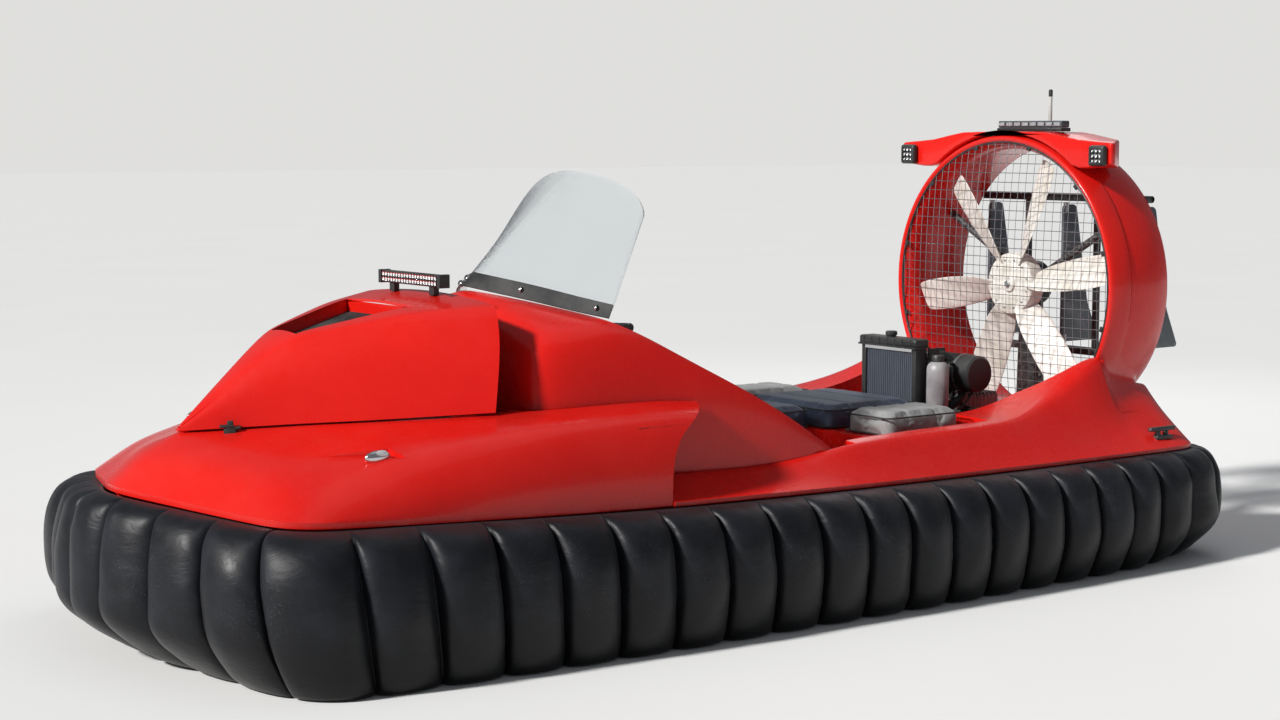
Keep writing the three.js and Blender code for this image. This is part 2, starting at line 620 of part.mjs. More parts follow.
function blade(angle) {
  const sections = bladeRows.map(([radius, chord, pitch]) => {
    const c = Math.cos(toRadians(pitch)) * chord;
    const s = Math.sin(toRadians(pitch)) * chord;
    const thick = 0.11 * chord;
    const across = new Vector2(c, s).normalize();
    const place = (t, side) => new Vector3(
      (t - 0.5) * c - side * thick * across.y, (t - 0.5) * s + side * thick * across.x, radius);
    return [place(0, 0), place(0.3, 0.5), place(1, 0.05), place(1, -0.05), place(0.3, -0.5)];
  });
  const body = loft(sections);
  return body.rotateY(angle);
}
const hubFront = -17;
const hub = new THREE.LatheGeometry([[0, hubFront - 22], [70, hubFront - 18], [hubRadius, hubFront], [hubRadius, 60],
  [0, 60]].map(([r, y]) => new Vector2(r, y)), 36);
const bladeTurn = toRadians(21);
const rotor = joinAll([hub, ...Array.from({ length: bladeCount }, (_, i) => (
  blade(bladeTurn + (i * 2 * Math.PI) / bladeCount)))]);
addPart("fan_rotor", geometryOf(rotor).translate(0, ductY, ductHeight), creamPaint);

// Pylon behind the fan: a bearing housing on a post, steadied by two arms
const pylonFront = 2056;
const armReach = throatRadius - 2;
const pylon = joinAll([
  rod(new Vector3(0, pylonFront, ductHeight), new Vector3(0, pylonFront + 90, ductHeight), 96, 28),
  block(-62, 62, pylonFront + 8, pylonFront + 74, ductHeight - armReach + 5, ductHeight),
  rod(new Vector3(0, pylonFront + 44, ductHeight), new Vector3(armReach * 0.866, pylonFront + 44, ductHeight + armReach * 0.5), 16, 12),
  rod(new Vector3(0, pylonFront + 44, ductHeight), new Vector3(-armReach * 0.866, pylonFront + 44, ductHeight + armReach * 0.5), 16, 12),
]);
addPart("fan_pylon", geometryOf(pylon), darkSteel);

// Guard: a domed wire grid in front of the fan
const guardRadius = 604.5;
const guardRim = 12;
const guardPitch = 96;
const guardWire = 7;
const guardDome = 46;
const guardY = 1904.2;

function guardGrid() {
  const disc = new THREE.CylinderGeometry(guardRadius, guardRadius, guardWire, 64);
  let grid = solid(disc);
  const half = (guardPitch - guardWire) / 2;
  const inner = solid(new THREE.CylinderGeometry(guardRadius - guardRim, guardRadius - guardRim, 40, 64));
  const reach = Math.ceil(guardRadius / guardPitch);
  for (let i = -reach; i < reach; i++) {
    for (let j = -reach; j < reach; j++) {
      const x = (i + 0.5) * guardPitch;
      const z = (j + 0.5) * guardPitch;
      if (Math.hypot(Math.abs(x) - half, Math.abs(z) - half) > guardRadius - guardRim) continue;
      const cell = solid(block(x - half, x + half, -20, 20, z - half, z + half));
      grid = grid.subtract(cell.intersect(inner));
    }
  }
  const geometry = geometryOf(grid);
  const spots = geometry.attributes.position;
  for (let i = 0; i < spots.count; i++) {
    const r = Math.hypot(spots.getX(i), spots.getZ(i));
    spots.setY(i, spots.getY(i) - guardDome * (1 - (r / guardRadius) ** 2));
  }
  return geometry;
}
addPart("fan_guard", guardGrid().translate(0, guardY, ductHeight), blackPlastic);

// Rudders: three leaves between two bars behind the duct
const rudderY = 2302;
const rudderLow = 800;
const rudderHigh = 1400;
const barHalf = 472;
const barDepth = 48;
const postX = 200;
const barBack = ductTail + touchGap;
const frame = joinAll([
  block(-barHalf, barHalf, barBack, barBack + barDepth, rudderLow - 46, rudderLow - 16),
  block(-barHalf, barHalf, barBack, barBack + barDepth, rudderHigh + 16, rudderHigh + 46),
  block(-postX - 12, -postX + 12, barBack, barBack + 24, rudderLow - 46, rudderHigh + 46),
  block(postX - 12, postX + 12, barBack, barBack + 24, rudderLow - 46, rudderHigh + 46),
]);
addPart("rudder_frame", geometryOf(frame), darkSteel);

const rudderPlaces = [["rudder_port", 445], ["rudder_centre", 0], ["rudder_starboard", -445]];
for (const [name, x] of rudderPlaces) {
  const leaf = slab([[rudderY - 20, rudderLow], [rudderY + 218, rudderLow], [rudderY + 140, rudderLow + 170],
    [rudderY + 60, rudderHigh], [rudderY - 20, rudderHigh]], x - 7, x + 7);
  const pivots = [[rudderLow - 10, rudderLow + 30], [rudderHigh - 30, rudderHigh + 10]].map(([z0, z1]) => (
    rod(new Vector3(x, rudderY, z0), new Vector3(x, rudderY, z1), 12, 16)));
  addPart(name, geometryOf(joinAll([leaf, ...pivots])), rudderAlloy);
}

// Small lamps on the shoulders
const navPlace = new Vector3(680, -1510, 719);
for (const [name, side] of [["nav_light_port", 1], ["nav_light_starboard", -1]]) {
  const lamp = new THREE.SphereGeometry(1, 14, 8);
  lamp.scale(18, 34, 16);
  lamp.translate(side * navPlace.x, navPlace.y, navPlace.z + 4);
  addPart(name, lamp, bareAlloy);
}

export default group;
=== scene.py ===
import math

import bmesh
import bpy
from mathutils import Matrix, Vector, noise


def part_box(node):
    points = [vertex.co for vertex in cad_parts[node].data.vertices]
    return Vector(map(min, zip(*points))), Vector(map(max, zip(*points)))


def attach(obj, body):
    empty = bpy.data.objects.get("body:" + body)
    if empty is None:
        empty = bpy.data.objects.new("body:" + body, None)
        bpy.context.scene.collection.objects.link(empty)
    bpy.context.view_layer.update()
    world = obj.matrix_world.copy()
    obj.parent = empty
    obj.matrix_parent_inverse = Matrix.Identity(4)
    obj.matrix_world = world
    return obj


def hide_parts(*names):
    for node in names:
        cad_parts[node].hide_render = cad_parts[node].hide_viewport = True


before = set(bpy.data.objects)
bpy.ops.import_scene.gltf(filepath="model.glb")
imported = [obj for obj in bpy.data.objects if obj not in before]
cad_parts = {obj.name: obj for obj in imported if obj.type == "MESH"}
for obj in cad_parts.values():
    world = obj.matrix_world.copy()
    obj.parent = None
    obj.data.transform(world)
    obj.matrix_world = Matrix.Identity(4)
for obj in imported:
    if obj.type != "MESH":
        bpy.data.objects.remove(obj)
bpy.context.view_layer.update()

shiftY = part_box("duct")[0].y - 1.895   # tables below are in the craft's own frame, metres, bow towards -Y
fanHeight = (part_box("fan_guard")[0].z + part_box("fan_guard")[1].z) / 2
print("frame loaded")


def place(x, y, z):
    return Vector((x, y + shiftY, z))


def newGroup(name, inputs, outputs):
    group = bpy.data.node_groups.new(name, "ShaderNodeTree")
    for label, kind, value in inputs:
        socket = group.interface.new_socket(label, in_out="INPUT", socket_type=kind)
        socket.default_value = value
    for label, kind in outputs:
        group.interface.new_socket(label, in_out="OUTPUT", socket_type=kind)
    return group, group.nodes.new("NodeGroupInput"), group.nodes.new("NodeGroupOutput")


def addNode(tree, kind, **settings):
    node = tree.nodes.new(kind)
    for key, value in settings.items():
        setattr(node, key, value)
    return node


def mathNode(tree, operation, first, second=None, clamp=False):
    node = addNode(tree, "ShaderNodeMath", operation=operation, use_clamp=clamp)
    for socket, value in zip(node.inputs, (first, second)):
        if isinstance(value, (int, float)):
            socket.default_value = value
        elif value is not None:
            tree.links.new(value, socket)
    return node.outputs[0]


def mixColour(tree, factor, first, second):
    node = addNode(tree, "ShaderNodeMix", data_type="RGBA")
    for socket, value in ((node.inputs[0], factor), (node.inputs[6], first), (node.inputs[7], second)):
        if isinstance(value, (int, float)):
            socket.default_value = value
        elif isinstance(value, tuple):
            socket.default_value = (*value, 1)
        else:
            tree.links.new(value, socket)
    return node.outputs[2]


def noiseNode(tree, vector, scale, detail=3.0, roughness=0.55):
    node = addNode(tree, "ShaderNodeTexNoise")
    tree.links.new(vector, node.inputs["Vector"])
    node.inputs["Detail"].default_value = detail
    node.inputs["Roughness"].default_value = roughness
    if isinstance(scale, (int, float)):
        node.inputs["Scale"].default_value = scale
    else:
        tree.links.new(scale, node.inputs["Scale"])
    return node.outputs["Fac"]


def spreadMask(tree, value, low, high):
    node = addNode(tree, "ShaderNodeMapRange", clamp=True, interpolation_type="SMOOTHSTEP")
    tree.links.new(value, node.inputs["Value"])
    node.inputs["From Min"].default_value = low
    node.inputs["From Max"].default_value = high
    return node.outputs["Result"]


def makeMottle():
    # two sizes of soft noise: a slow one for patches, a fine one for grain
    group, given, out = newGroup("mottle", [
        ("Patch Scale", "NodeSocketFloat", 2.0), ("Grain Scale", "NodeSocketFloat", 400.0)],
        [("Patch", "NodeSocketFloat"), ("Grain", "NodeSocketFloat")])
    spot = addNode(group, "ShaderNodeTexCoord").outputs["Object"]
    group.links.new(noiseNode(group, spot, given.outputs["Patch Scale"], 4), out.inputs["Patch"])
    group.links.new(noiseNode(group, spot, given.outputs["Grain Scale"], 2), out.inputs["Grain"])
    return group


def makeSettledDust():
    # where dust and dried spray lie: faces that look up, broken up by patches, and fine specks
    group, given, out = newGroup("settledDust", [
        ("Upward", "NodeSocketFloat", 0.4), ("Specks", "NodeSocketFloat", 0.2)],
        [("Dust", "NodeSocketFloat"), ("Speck", "NodeSocketFloat")])
    coord = addNode(group, "ShaderNodeTexCoord")
    surface = addNode(group, "ShaderNodeNewGeometry")
    split = addNode(group, "ShaderNodeSeparateXYZ")
    group.links.new(surface.outputs["Normal"], split.inputs[0])
    facing = spreadMask(group, split.outputs["Z"], -0.1, 0.95)
    patches = spreadMask(group, noiseNode(group, coord.outputs["Object"], 5.5, 6, 0.65), 0.35, 0.72)
    dust = mathNode(group, "MULTIPLY", mathNode(group, "MULTIPLY", facing, patches), given.outputs["Upward"],
                    True)
    fine = noiseNode(group, coord.outputs["Object"], 420.0, 1)
    zones = spreadMask(group, noiseNode(group, coord.outputs["Object"], 2.3, 3), 0.44, 0.66)
    speck = mathNode(group, "MULTIPLY", spreadMask(group, fine, 0.70, 0.76), zones)
    group.links.new(dust, out.inputs["Dust"])
    group.links.new(mathNode(group, "MULTIPLY", speck, given.outputs["Specks"], True), out.inputs["Speck"])
    return group


def makeEdgeWear():
    # brighter where an edge has been rubbed, from the surface's own pointiness
    group, given, out = newGroup("edgeWear", [
        ("Amount", "NodeSocketFloat", 0.5), ("Breakup Scale", "NodeSocketFloat", 60.0)],
        [("Wear", "NodeSocketFloat")])
    surface = addNode(group, "ShaderNodeNewGeometry")
    coord = addNode(group, "ShaderNodeTexCoord")
    edge = spreadMask(group, surface.outputs["Pointiness"], 0.53, 0.62)
    broken = spreadMask(group, noiseNode(group, coord.outputs["Object"], given.outputs["Breakup Scale"], 4),
                        0.42, 0.6)
    wear = mathNode(group, "MULTIPLY", edge, broken)
    group.links.new(mathNode(group, "MULTIPLY", wear, given.outputs["Amount"], True), out.inputs["Wear"])
    return group


mottle, settledDust, edgeWear = makeMottle(), makeSettledDust(), makeEdgeWear()


def useGroup(tree, group, **values):
    node = addNode(tree, "ShaderNodeGroup", node_tree=group)
    for label, value in values.items():
        node.inputs[label.replace("_", " ")].default_value = value
    return node


def newFinish(name, **sockets):
    material = bpy.data.materials.new(name)
    material.use_nodes = True
    tree = material.node_tree
    shader = tree.nodes["Principled BSDF"]
    for label, value in sockets.items():
        shader.inputs[label.replace("_", " ")].default_value = value
    return material, tree, shader


def bumpFrom(tree, shader, height, strength, distance):
    node = addNode(tree, "ShaderNodeBump")
    node.inputs["Strength"].default_value = strength
    node.inputs["Distance"].default_value = distance
    tree.links.new(height, node.inputs["Height"])
    tree.links.new(node.outputs["Normal"], shader.inputs["Normal"])


tint = {
    "redDeep": (0.60, 0.008, 0.005), "redBright": (0.68, 0.012, 0.007), "dust": (0.42, 0.40, 0.37),
    "fabricDark": (0.0040, 0.0046, 0.0070), "fabricWorn": (0.0102, 0.0116, 0.0168),
    # the near black skirt colour on the next line is painted shade for the lower skirt towards the hem
    "salt": (0.30, 0.31, 0.32), "fabricHemShade": (0.0016, 0.0018, 0.0024),
    # the two navy tones on the next line are painted shade for the centre cushions, which are the same grey vinyl
    "seatShadeDark": (0.034, 0.056, 0.100), "seatShadeLight": (0.060, 0.088, 0.145), "greyDark": (0.20, 0.21, 0.22),
    "greyLight": (0.31, 0.31, 0.30),
    "cream": (0.735, 0.712, 0.665), "creamSoiled": (0.58, 0.545, 0.475),
    "blackPaint": (0.016, 0.017, 0.018), "rubbedSteel": (0.20, 0.20, 0.20),
    "castLight": (0.24, 0.25, 0.26), "castDark": (0.045, 0.045, 0.048),
    "rudderBlue": (0.060, 0.074, 0.090), "rudderGrey": (0.15, 0.17, 0.19),
}


def makeGelcoat():
    # moulded red with a clear top coat, a slight ripple in its reflections
    material, tree, shader = newFinish("redGelcoat", Roughness=0.30, Specular_IOR_Level=0.28,
                                       Coat_Weight=0.20, Coat_Roughness=0.06)
    tone = useGroup(tree, mottle, Patch_Scale=1.7, Grain_Scale=26.0)
    grime = useGroup(tree, settledDust, Upward=0.016, Specks=0.008)
    red = mixColour(tree, spreadMask(tree, tone.outputs["Patch"], 0.3, 0.7),
                    tint["redDeep"], tint["redBright"])
    dusty = mixColour(tree, grime.outputs["Dust"], red, tint["dust"])
    tree.links.new(mixColour(tree, grime.outputs["Speck"], dusty, tint["dust"]), shader.inputs["Base Color"])
    rough = mathNode(tree, "MULTIPLY", grime.outputs["Dust"], 2.2)
    soft = mathNode(tree, "MULTIPLY", tone.outputs["Grain"], 0.10)
    tree.links.new(mathNode(tree, "ADD", mathNode(tree, "ADD", rough, soft), 0.22),
                   shader.inputs["Roughness"])
    bumpFrom(tree, shader, tone.outputs["Grain"], 0.05, 0.004)
    return material


def makeSkirtFabric():
    # coated cloth: a fine weave under a satin coat, worn paler where it stands proud, with dried salt, and
    # painted shade that darkens it towards the hem
    material, tree, shader = newFinish("skirtFabric", Roughness=0.5, Specular_IOR_Level=0.28,
                                       Sheen_Weight=0.04, Sheen_Roughness=0.4)
    coord = addNode(tree, "ShaderNodeTexCoord")
    tone = useGroup(tree, mottle, Patch_Scale=7.0, Grain_Scale=900.0)
    grime = useGroup(tree, settledDust, Upward=0.10, Specks=0.65)
    worn = useGroup(tree, edgeWear, Amount=0.6, Breakup_Scale=25.0)
    cloth = mixColour(tree, spreadMask(tree, tone.outputs["Patch"], 0.38, 0.75),
                      tint["fabricDark"], tint["fabricWorn"])
    rubbed = mixColour(tree, worn.outputs["Wear"], cloth, tint["fabricWorn"])
    dusty = mixColour(tree, grime.outputs["Dust"], rubbed, (0.035, 0.036, 0.038))
    salted = mixColour(tree, grime.outputs["Speck"], dusty, tint["salt"])
    split = addNode(tree, "ShaderNodeSeparateXYZ")
    tree.links.new(coord.outputs["Object"], split.inputs[0])
    ragged = mathNode(tree, "ADD", split.outputs["Z"],
                      mathNode(tree, "MULTIPLY", tone.outputs["Patch"], 0.10))
    aboveHemShade = spreadMask(tree, ragged, 0.12, 0.34)   # painted shade: near black towards the hem, where the skirt's lower half lies in shade
    tree.links.new(mixColour(tree, aboveHemShade, tint["fabricHemShade"], salted), shader.inputs["Base Color"])
    smear = mathNode(tree, "MULTIPLY", tone.outputs["Patch"], 0.26)
    tree.links.new(mathNode(tree, "ADD", smear, 0.33), shader.inputs["Roughness"])
    crease = addNode(tree, "ShaderNodeTexNoise", noise_dimensions="3D")
    stretch = addNode(tree, "ShaderNodeMapping")
    stretch.inputs["Scale"].default_value = (6, 6, 14)
    tree.links.new(coord.outputs["Object"], stretch.inputs["Vector"])
    tree.links.new(stretch.outputs["Vector"], crease.inputs["Vector"])
    crease.inputs["Scale"].default_value = 1.6
    crease.inputs["Detail"].default_value = 5.0
    crease.inputs["Distortion"].default_value = 1.4
    weave = mathNode(tree, "MULTIPLY", tone.outputs["Grain"], 0.05)
    bumpFrom(tree, shader, mathNode(tree, "ADD", crease.outputs["Fac"], weave), 0.18, 0.012)
    return material


def makeVinyl(name, dark, light):
    material, tree, shader = newFinish(name, Roughness=0.55, Sheen_Weight=0.1)
    coord = addNode(tree, "ShaderNodeTexCoord")
    tone = useGroup(tree, mottle, Patch_Scale=6.0, Grain_Scale=300.0)
    grime = useGroup(tree, settledDust, Upward=0.12, Specks=0.1)
    cells = addNode(tree, "ShaderNodeTexVoronoi", feature="DISTANCE_TO_EDGE")
    cells.inputs["Scale"].default_value = 480.0
    tree.links.new(coord.outputs["Object"], cells.inputs["Vector"])
    hide = mixColour(tree, tone.outputs["Patch"], dark, light)
    tree.links.new(mixColour(tree, grime.outputs["Dust"], hide, tint["dust"]), shader.inputs["Base Color"])
    tree.links.new(mathNode(tree, "ADD", mathNode(tree, "MULTIPLY", tone.outputs["Patch"], 0.2), 0.42),
                   shader.inputs["Roughness"])
    bumpFrom(tree, shader, cells.outputs["Distance"], 0.35, 0.0012)
    return material


def makePaint(name, clean, soiled, roughness, metallic, grain, wearTone, wearAmount):
    # a sprayed or moulded finish: soiled in patches, rubbed at its edges, with a fine grain
    material, tree, shader = newFinish(name, Roughness=roughness, Metallic=metallic)
    tone = useGroup(tree, mottle, Patch_Scale=9.0, Grain_Scale=grain)
    worn = useGroup(tree, edgeWear, Amount=wearAmount, Breakup_Scale=70.0)
    grime = useGroup(tree, settledDust, Upward=0.15, Specks=0.15)
    base = mixColour(tree, spreadMask(tree, tone.outputs["Patch"], 0.42, 0.72), clean, soiled)
    rubbed = mixColour(tree, worn.outputs["Wear"], base, wearTone)
    tree.links.new(mixColour(tree, grime.outputs["Dust"], rubbed, tint["dust"]), shader.inputs["Base Color"])
    spread = mathNode(tree, "MULTIPLY", tone.outputs["Patch"], 0.22)
    tree.links.new(mathNode(tree, "ADD", spread, roughness - 0.11), shader.inputs["Roughness"])
    bumpFrom(tree, shader, tone.outputs["Grain"], 0.18, 0.0008)
    return material


def makeClear(name, colour, transmission, roughness):
    material, tree, shader = newFinish(name, Roughness=roughness, IOR=1.46, Transmission_Weight=transmission)
    tone = useGroup(tree, mottle, Patch_Scale=5.0, Grain_Scale=60.0)
    tree.links.new(mixColour(tree, tone.outputs["Patch"], colour, tuple(c * 0.94 for c in colour)),
                   shader.inputs["Base Color"])
    tree.links.new(mathNode(tree, "ADD", mathNode(tree, "MULTIPLY", tone.outputs["Patch"], 0.05), roughness),
                   shader.inputs["Roughness"])
    return material


def makeSilver(name, colour, roughness):
    material, tree, shader = newFinish(name, Roughness=roughness, Metallic=1.0)
    tone = useGroup(tree, mottle, Patch_Scale=14.0, Grain_Scale=220.0)
    tree.links.new(mixColour(tree, tone.outputs["Patch"], colour, tuple(c * 0.72 for c in colour)),
                   shader.inputs["Base Color"])
    tree.links.new(mathNode(tree, "ADD", mathNode(tree, "MULTIPLY", tone.outputs["Grain"], 0.12), roughness),
                   shader.inputs["Roughness"])
    bumpFrom(tree, shader, tone.outputs["Grain"], 0.05, 0.0005)
    return material


def makeFins():
    # a radiator core: thin upright tubes with fins between them
    material, tree, shader = newFinish("radiatorCore", Roughness=0.45, Metallic=0.5)
    coord = addNode(tree, "ShaderNodeTexCoord")
    split = addNode(tree, "ShaderNodeSeparateXYZ")
    tree.links.new(coord.outputs["Object"], split.inputs[0])
    tubes = mathNode(tree, "SINE", mathNode(tree, "MULTIPLY", split.outputs["X"], 560.0))
    fins = mathNode(tree, "SINE", mathNode(tree, "MULTIPLY", split.outputs["Z"], 1500.0))
    lattice = mathNode(tree, "ADD", mathNode(tree, "MULTIPLY", tubes, 0.7),
                       mathNode(tree, "MULTIPLY", fins, 0.3))
    lit = spreadMask(tree, lattice, -0.5, 0.8)
    tree.links.new(mixColour(tree, lit, (0.012, 0.015, 0.022), (0.085, 0.105, 0.140)),
                   shader.inputs["Base Color"])
    bumpFrom(tree, shader, lattice, 0.8, 0.002)
    return material


gelcoat = makeGelcoat()
skirtFabric = makeSkirtFabric()
# painted shade: the centre cushions get a dark navy for the shade that falls on them, the side cushions keep the
# grey
seatShadeVinyl = makeVinyl("seatShadeVinyl", tint["seatShadeDark"], tint["seatShadeLight"])
greyVinyl = makeVinyl("greyVinyl", tint["greyDark"], tint["greyLight"])
radiatorCore = makeFins()
mouldedBlack = makePaint("mouldedBlack", (0.014, 0.015, 0.016), (0.022, 0.023, 0.024), 0.42, 0, 700.0,
                         (0.06, 0.06, 0.06), 0.25)
softRubber = makePaint("softRubber", (0.012, 0.012, 0.013), (0.024, 0.024, 0.024), 0.68, 0, 350.0,
                       (0.05, 0.05, 0.05), 0.3)
creamPaint = makePaint("creamPaint", tint["cream"], tint["creamSoiled"], 0.38, 0, 240.0, (0.30, 0.29, 0.27),
                       0.5)
blackSteel = makePaint("blackSteel", tint["blackPaint"], (0.03, 0.03, 0.032), 0.4, 0.2, 300.0,
                       tint["rubbedSteel"], 0.5)
castAlloy = makePaint("castAlloy", tint["castLight"], tint["castDark"], 0.55, 0.6, 180.0, (0.4, 0.4, 0.4),
                      0.5)
rudderPaint = makePaint("rudderPaint", tint["rudderBlue"], tint["rudderGrey"], 0.42, 0.1, 260.0,
                        (0.3, 0.3, 0.3), 0.6)
bottlePlastic = makePaint("bottlePlastic", (0.34, 0.33, 0.34), (0.20, 0.19, 0.20), 0.4, 0, 120.0,
                          (0.8, 0.8, 0.78), 0.2)
milkyPlastic = makePaint("milkyPlastic", (0.50, 0.49, 0.47), (0.36, 0.34, 0.32), 0.4, 0, 120.0,
                         (0.8, 0.8, 0.78), 0.2)
orangePaint = makePaint("orangePaint", (0.52, 0.05, 0.02), (0.36, 0.03, 0.015), 0.4, 0, 200.0,
                        (0.3, 0.3, 0.3), 0.4)
brightSteel = makeSilver("brightSteel", (0.72, 0.72, 0.73), 0.16)
dullAlloy = makeSilver("dullAlloy", (0.55, 0.56, 0.57), 0.34)
clearSheet = makeClear("clearSheet", (0.86, 0.90, 0.92), 0.94, 0.03)
lampGlass = makeClear("lampGlass", (0.93, 0.95, 0.96), 0.75, 0.08)
slatePlastic = makePaint("slatePlastic", (0.040, 0.050, 0.064), (0.060, 0.070, 0.084), 0.30, 0, 300.0,
                         (0.2, 0.21, 0.22), 0.2)
wireSteel = makeSilver("wireSteel", (0.30, 0.31, 0.33), 0.42)
lampDot = makePaint("lampDot", (0.86, 0.87, 0.88), (0.72, 0.73, 0.75), 0.25, 0, 200.0, (0.9, 0.9, 0.9), 0.1)
print("finishes made")


def gridSheet(rows, wrapped=False, creasedRows=(), creasedColumns=(), creaseValue=0.9):
    # a create_grid sheet whose points are moved to the given rows; wrapped joins the last column to the first
    bm = bmesh.new()
    columns = len(rows[0]) + (1 if wrapped else 0)
    bmesh.ops.create_grid(bm, x_segments=columns - 1, y_segments=len(rows) - 1, size=1)
    bm.verts.ensure_lookup_table()
    crease = bm.edges.layers.float.new("crease_edge")
    for edge in bm.edges:
        spots = [divmod(v.index, columns) for v in edge.verts]
        sameRow = spots[0][0] == spots[1][0]
        if sameRow and spots[0][0] in creasedRows or not sameRow and spots[0][1] in creasedColumns:
            edge[crease] = creaseValue
    for vert in bm.verts:
        row, column = divmod(vert.index, columns)
        vert.co = place(*rows[row][column % len(rows[0])])
    if wrapped:
        bmesh.ops.remove_doubles(bm, verts=bm.verts, dist=1e-6)
    return bm


def capEnds(bm):
    bmesh.ops.holes_fill(bm, edges=[e for e in bm.edges if e.is_boundary], sides=0)
    bmesh.ops.recalc_face_normals(bm, faces=bm.faces)
    return bm


def bothHalves(half):
    # a half ring from the centre line outwards becomes a whole ring round the craft
    other = [(-x, y, z) for x, y, z in reversed(half) if x > 1e-4]
    return [*half, *other]


def newObject(name, bm, material=None, smooth=True):
    mesh = bpy.data.meshes.new(name)
    bm.to_mesh(mesh)
    bm.free()
    if smooth:
        mesh.shade_smooth()
    piece = bpy.data.objects.new(name, mesh)
    bpy.context.scene.collection.objects.link(piece)
    if material:
        mesh.materials.append(material)
    return piece


def applyModifiers(piece):
    bpy.context.view_layer.update()
    solid = bpy.data.meshes.new_from_object(piece.evaluated_get(bpy.context.evaluated_depsgraph_get()))
    solid.name = piece.name
    piece.modifiers.clear()
    piece.data = solid
    return piece


def subdivide(piece, levels, applied=False, corners=False):
    change = piece.modifiers.new("smooth", "SUBSURF")
    change.levels = change.render_levels = levels
    if corners:
        change.boundary_smooth = "PRESERVE_CORNERS"
    return applyModifiers(piece) if applied else piece


def thicken(piece, thickness, offset=-1.0):
    change = piece.modifiers.new("wall", "SOLIDIFY")
    change.thickness = thickness
    change.offset = offset
    change.use_even_offset = True
    return applyModifiers(piece)


def cutAway(piece, *cutters, selfCrossing=False):
    for cutter in cutters:
        change = piece.modifiers.new("cut", "BOOLEAN")
        change.operation = "DIFFERENCE"
        change.solver = "EXACT"
        change.use_self = selfCrossing
        change.object = cutter
    applyModifiers(piece)
    for cutter in cutters:
        bpy.data.objects.remove(cutter)
    return piece


def softenEdges(piece, width, angle=38, segments=2):
    change = piece.modifiers.new("edges", "BEVEL")
    change.width = width
    change.segments = segments
    change.limit_method = "ANGLE"
    change.angle_limit = math.radians(angle)
    change.use_clamp_overlap = True
    return piece


def sharpen(piece, angle=38):
    piece.data.set_sharp_from_angle(angle=math.radians(angle))
    return piece


def pullOutline(bm, corners, way):
    # a flat outline pulled into a block
    face = bm.faces.new([bm.verts.new(corner) for corner in corners])
    raised = bmesh.ops.extrude_face_region(bm, geom=[face])["geom"]
    bmesh.ops.translate(bm, verts=[g for g in raised if isinstance(g, bmesh.types.BMVert)], vec=way)


def planCutter(outline, low, high):
    # an upright block over a plan outline
    bm = bmesh.new()
    pullOutline(bm, [place(x, y, low) for x, y in outline], (0, 0, high - low))
    bmesh.ops.recalc_face_normals(bm, faces=bm.faces)
    return newObject("planCutter", bm)


def sideCutter(outline, left, right):
    # an outline in y and z pulled across the craft
    bm = bmesh.new()
    pullOutline(bm, [place(left, y, z) for y, z in outline], (right - left, 0, 0))
    bmesh.ops.recalc_face_normals(bm, faces=bm.faces)
    return newObject("sideCutter", bm)


def mirroredPlan(half):
    return [*half, *[(-x, y) for x, y in reversed(half) if x > 1e-4]]


def throughPoints(points, count):
    # evenly spread points on a smooth line through the given ones
    line = [Vector(p) for p in points]
    line = [line[0] * 2 - line[1], *line, line[-1] * 2 - line[-2]]
    dense = []
    for i in range(1, len(line) - 2):
        a, b, c, d = line[i - 1:i + 3]
        ta = 0
        tb = ta + max((b - a).length, 1e-9) ** 0.5
        tc = tb + max((c - b).length, 1e-9) ** 0.5
        td = tc + max((d - c).length, 1e-9) ** 0.5
        for step in range(24):
            t = tb + (tc - tb) * step / 24
            ab = a * ((tb - t) / (tb - ta)) + b * ((t - ta) / (tb - ta))
            bc = b * ((tc - t) / (tc - tb)) + c * ((t - tb) / (tc - tb))
            cd = c * ((td - t) / (td - tc)) + d * ((t - tc) / (td - tc))
            abc = ab * ((tc - t) / (tc - ta)) + bc * ((t - ta) / (tc - ta))
            bcd = bc * ((td - t) / (td - tb)) + cd * ((t - tb) / (td - tb))
            dense.append(abc * ((tc - t) / (tc - tb)) + bcd * ((t - tb) / (tc - tb)))
    dense.append(line[-2])
    marks = [0.0]
    for a, b in zip(dense, dense[1:]):
        marks.append(marks[-1] + (b - a).length)
    spread = []
    k = 0
    for i in range(count):
        want = marks[-1] * i / (count - 1)
        while k < len(marks) - 2 and marks[k + 1] < want:
            k += 1
        share = (want - marks[k]) / max(marks[k + 1] - marks[k], 1e-9)
        spread.append(dense[k].lerp(dense[k + 1], min(share, 1)))
    return spread


def addWires(name, lines, radius, material, sides=6, closed=False):
    # round bars or wires along lines of points, as one mesh
    curve = bpy.data.curves.new(name, "CURVE")
    curve.dimensions = "3D"
    curve.bevel_depth = radius
    curve.bevel_resolution = max(sides // 2 - 2, 0)
    curve.use_fill_caps = not closed
    for points in lines:
        spline = curve.splines.new("POLY")
        spline.points.add(len(points) - 1)
        for point, spot in zip(spline.points, points):
            point.co = (*spot, 1)
        spline.use_cyclic_u = closed
    holder = bpy.data.objects.new(name + "Line", curve)
    bpy.context.scene.collection.objects.link(holder)
    bpy.context.view_layer.update()
    mesh = bpy.data.meshes.new_from_object(holder.evaluated_get(bpy.context.evaluated_depsgraph_get()))
    bpy.data.objects.remove(holder)
    mesh.name = name
    mesh.shade_smooth()
    mesh.materials.clear()
    mesh.materials.append(material)
    piece = bpy.data.objects.new(name, mesh)
    bpy.context.scene.collection.objects.link(piece)
    return piece


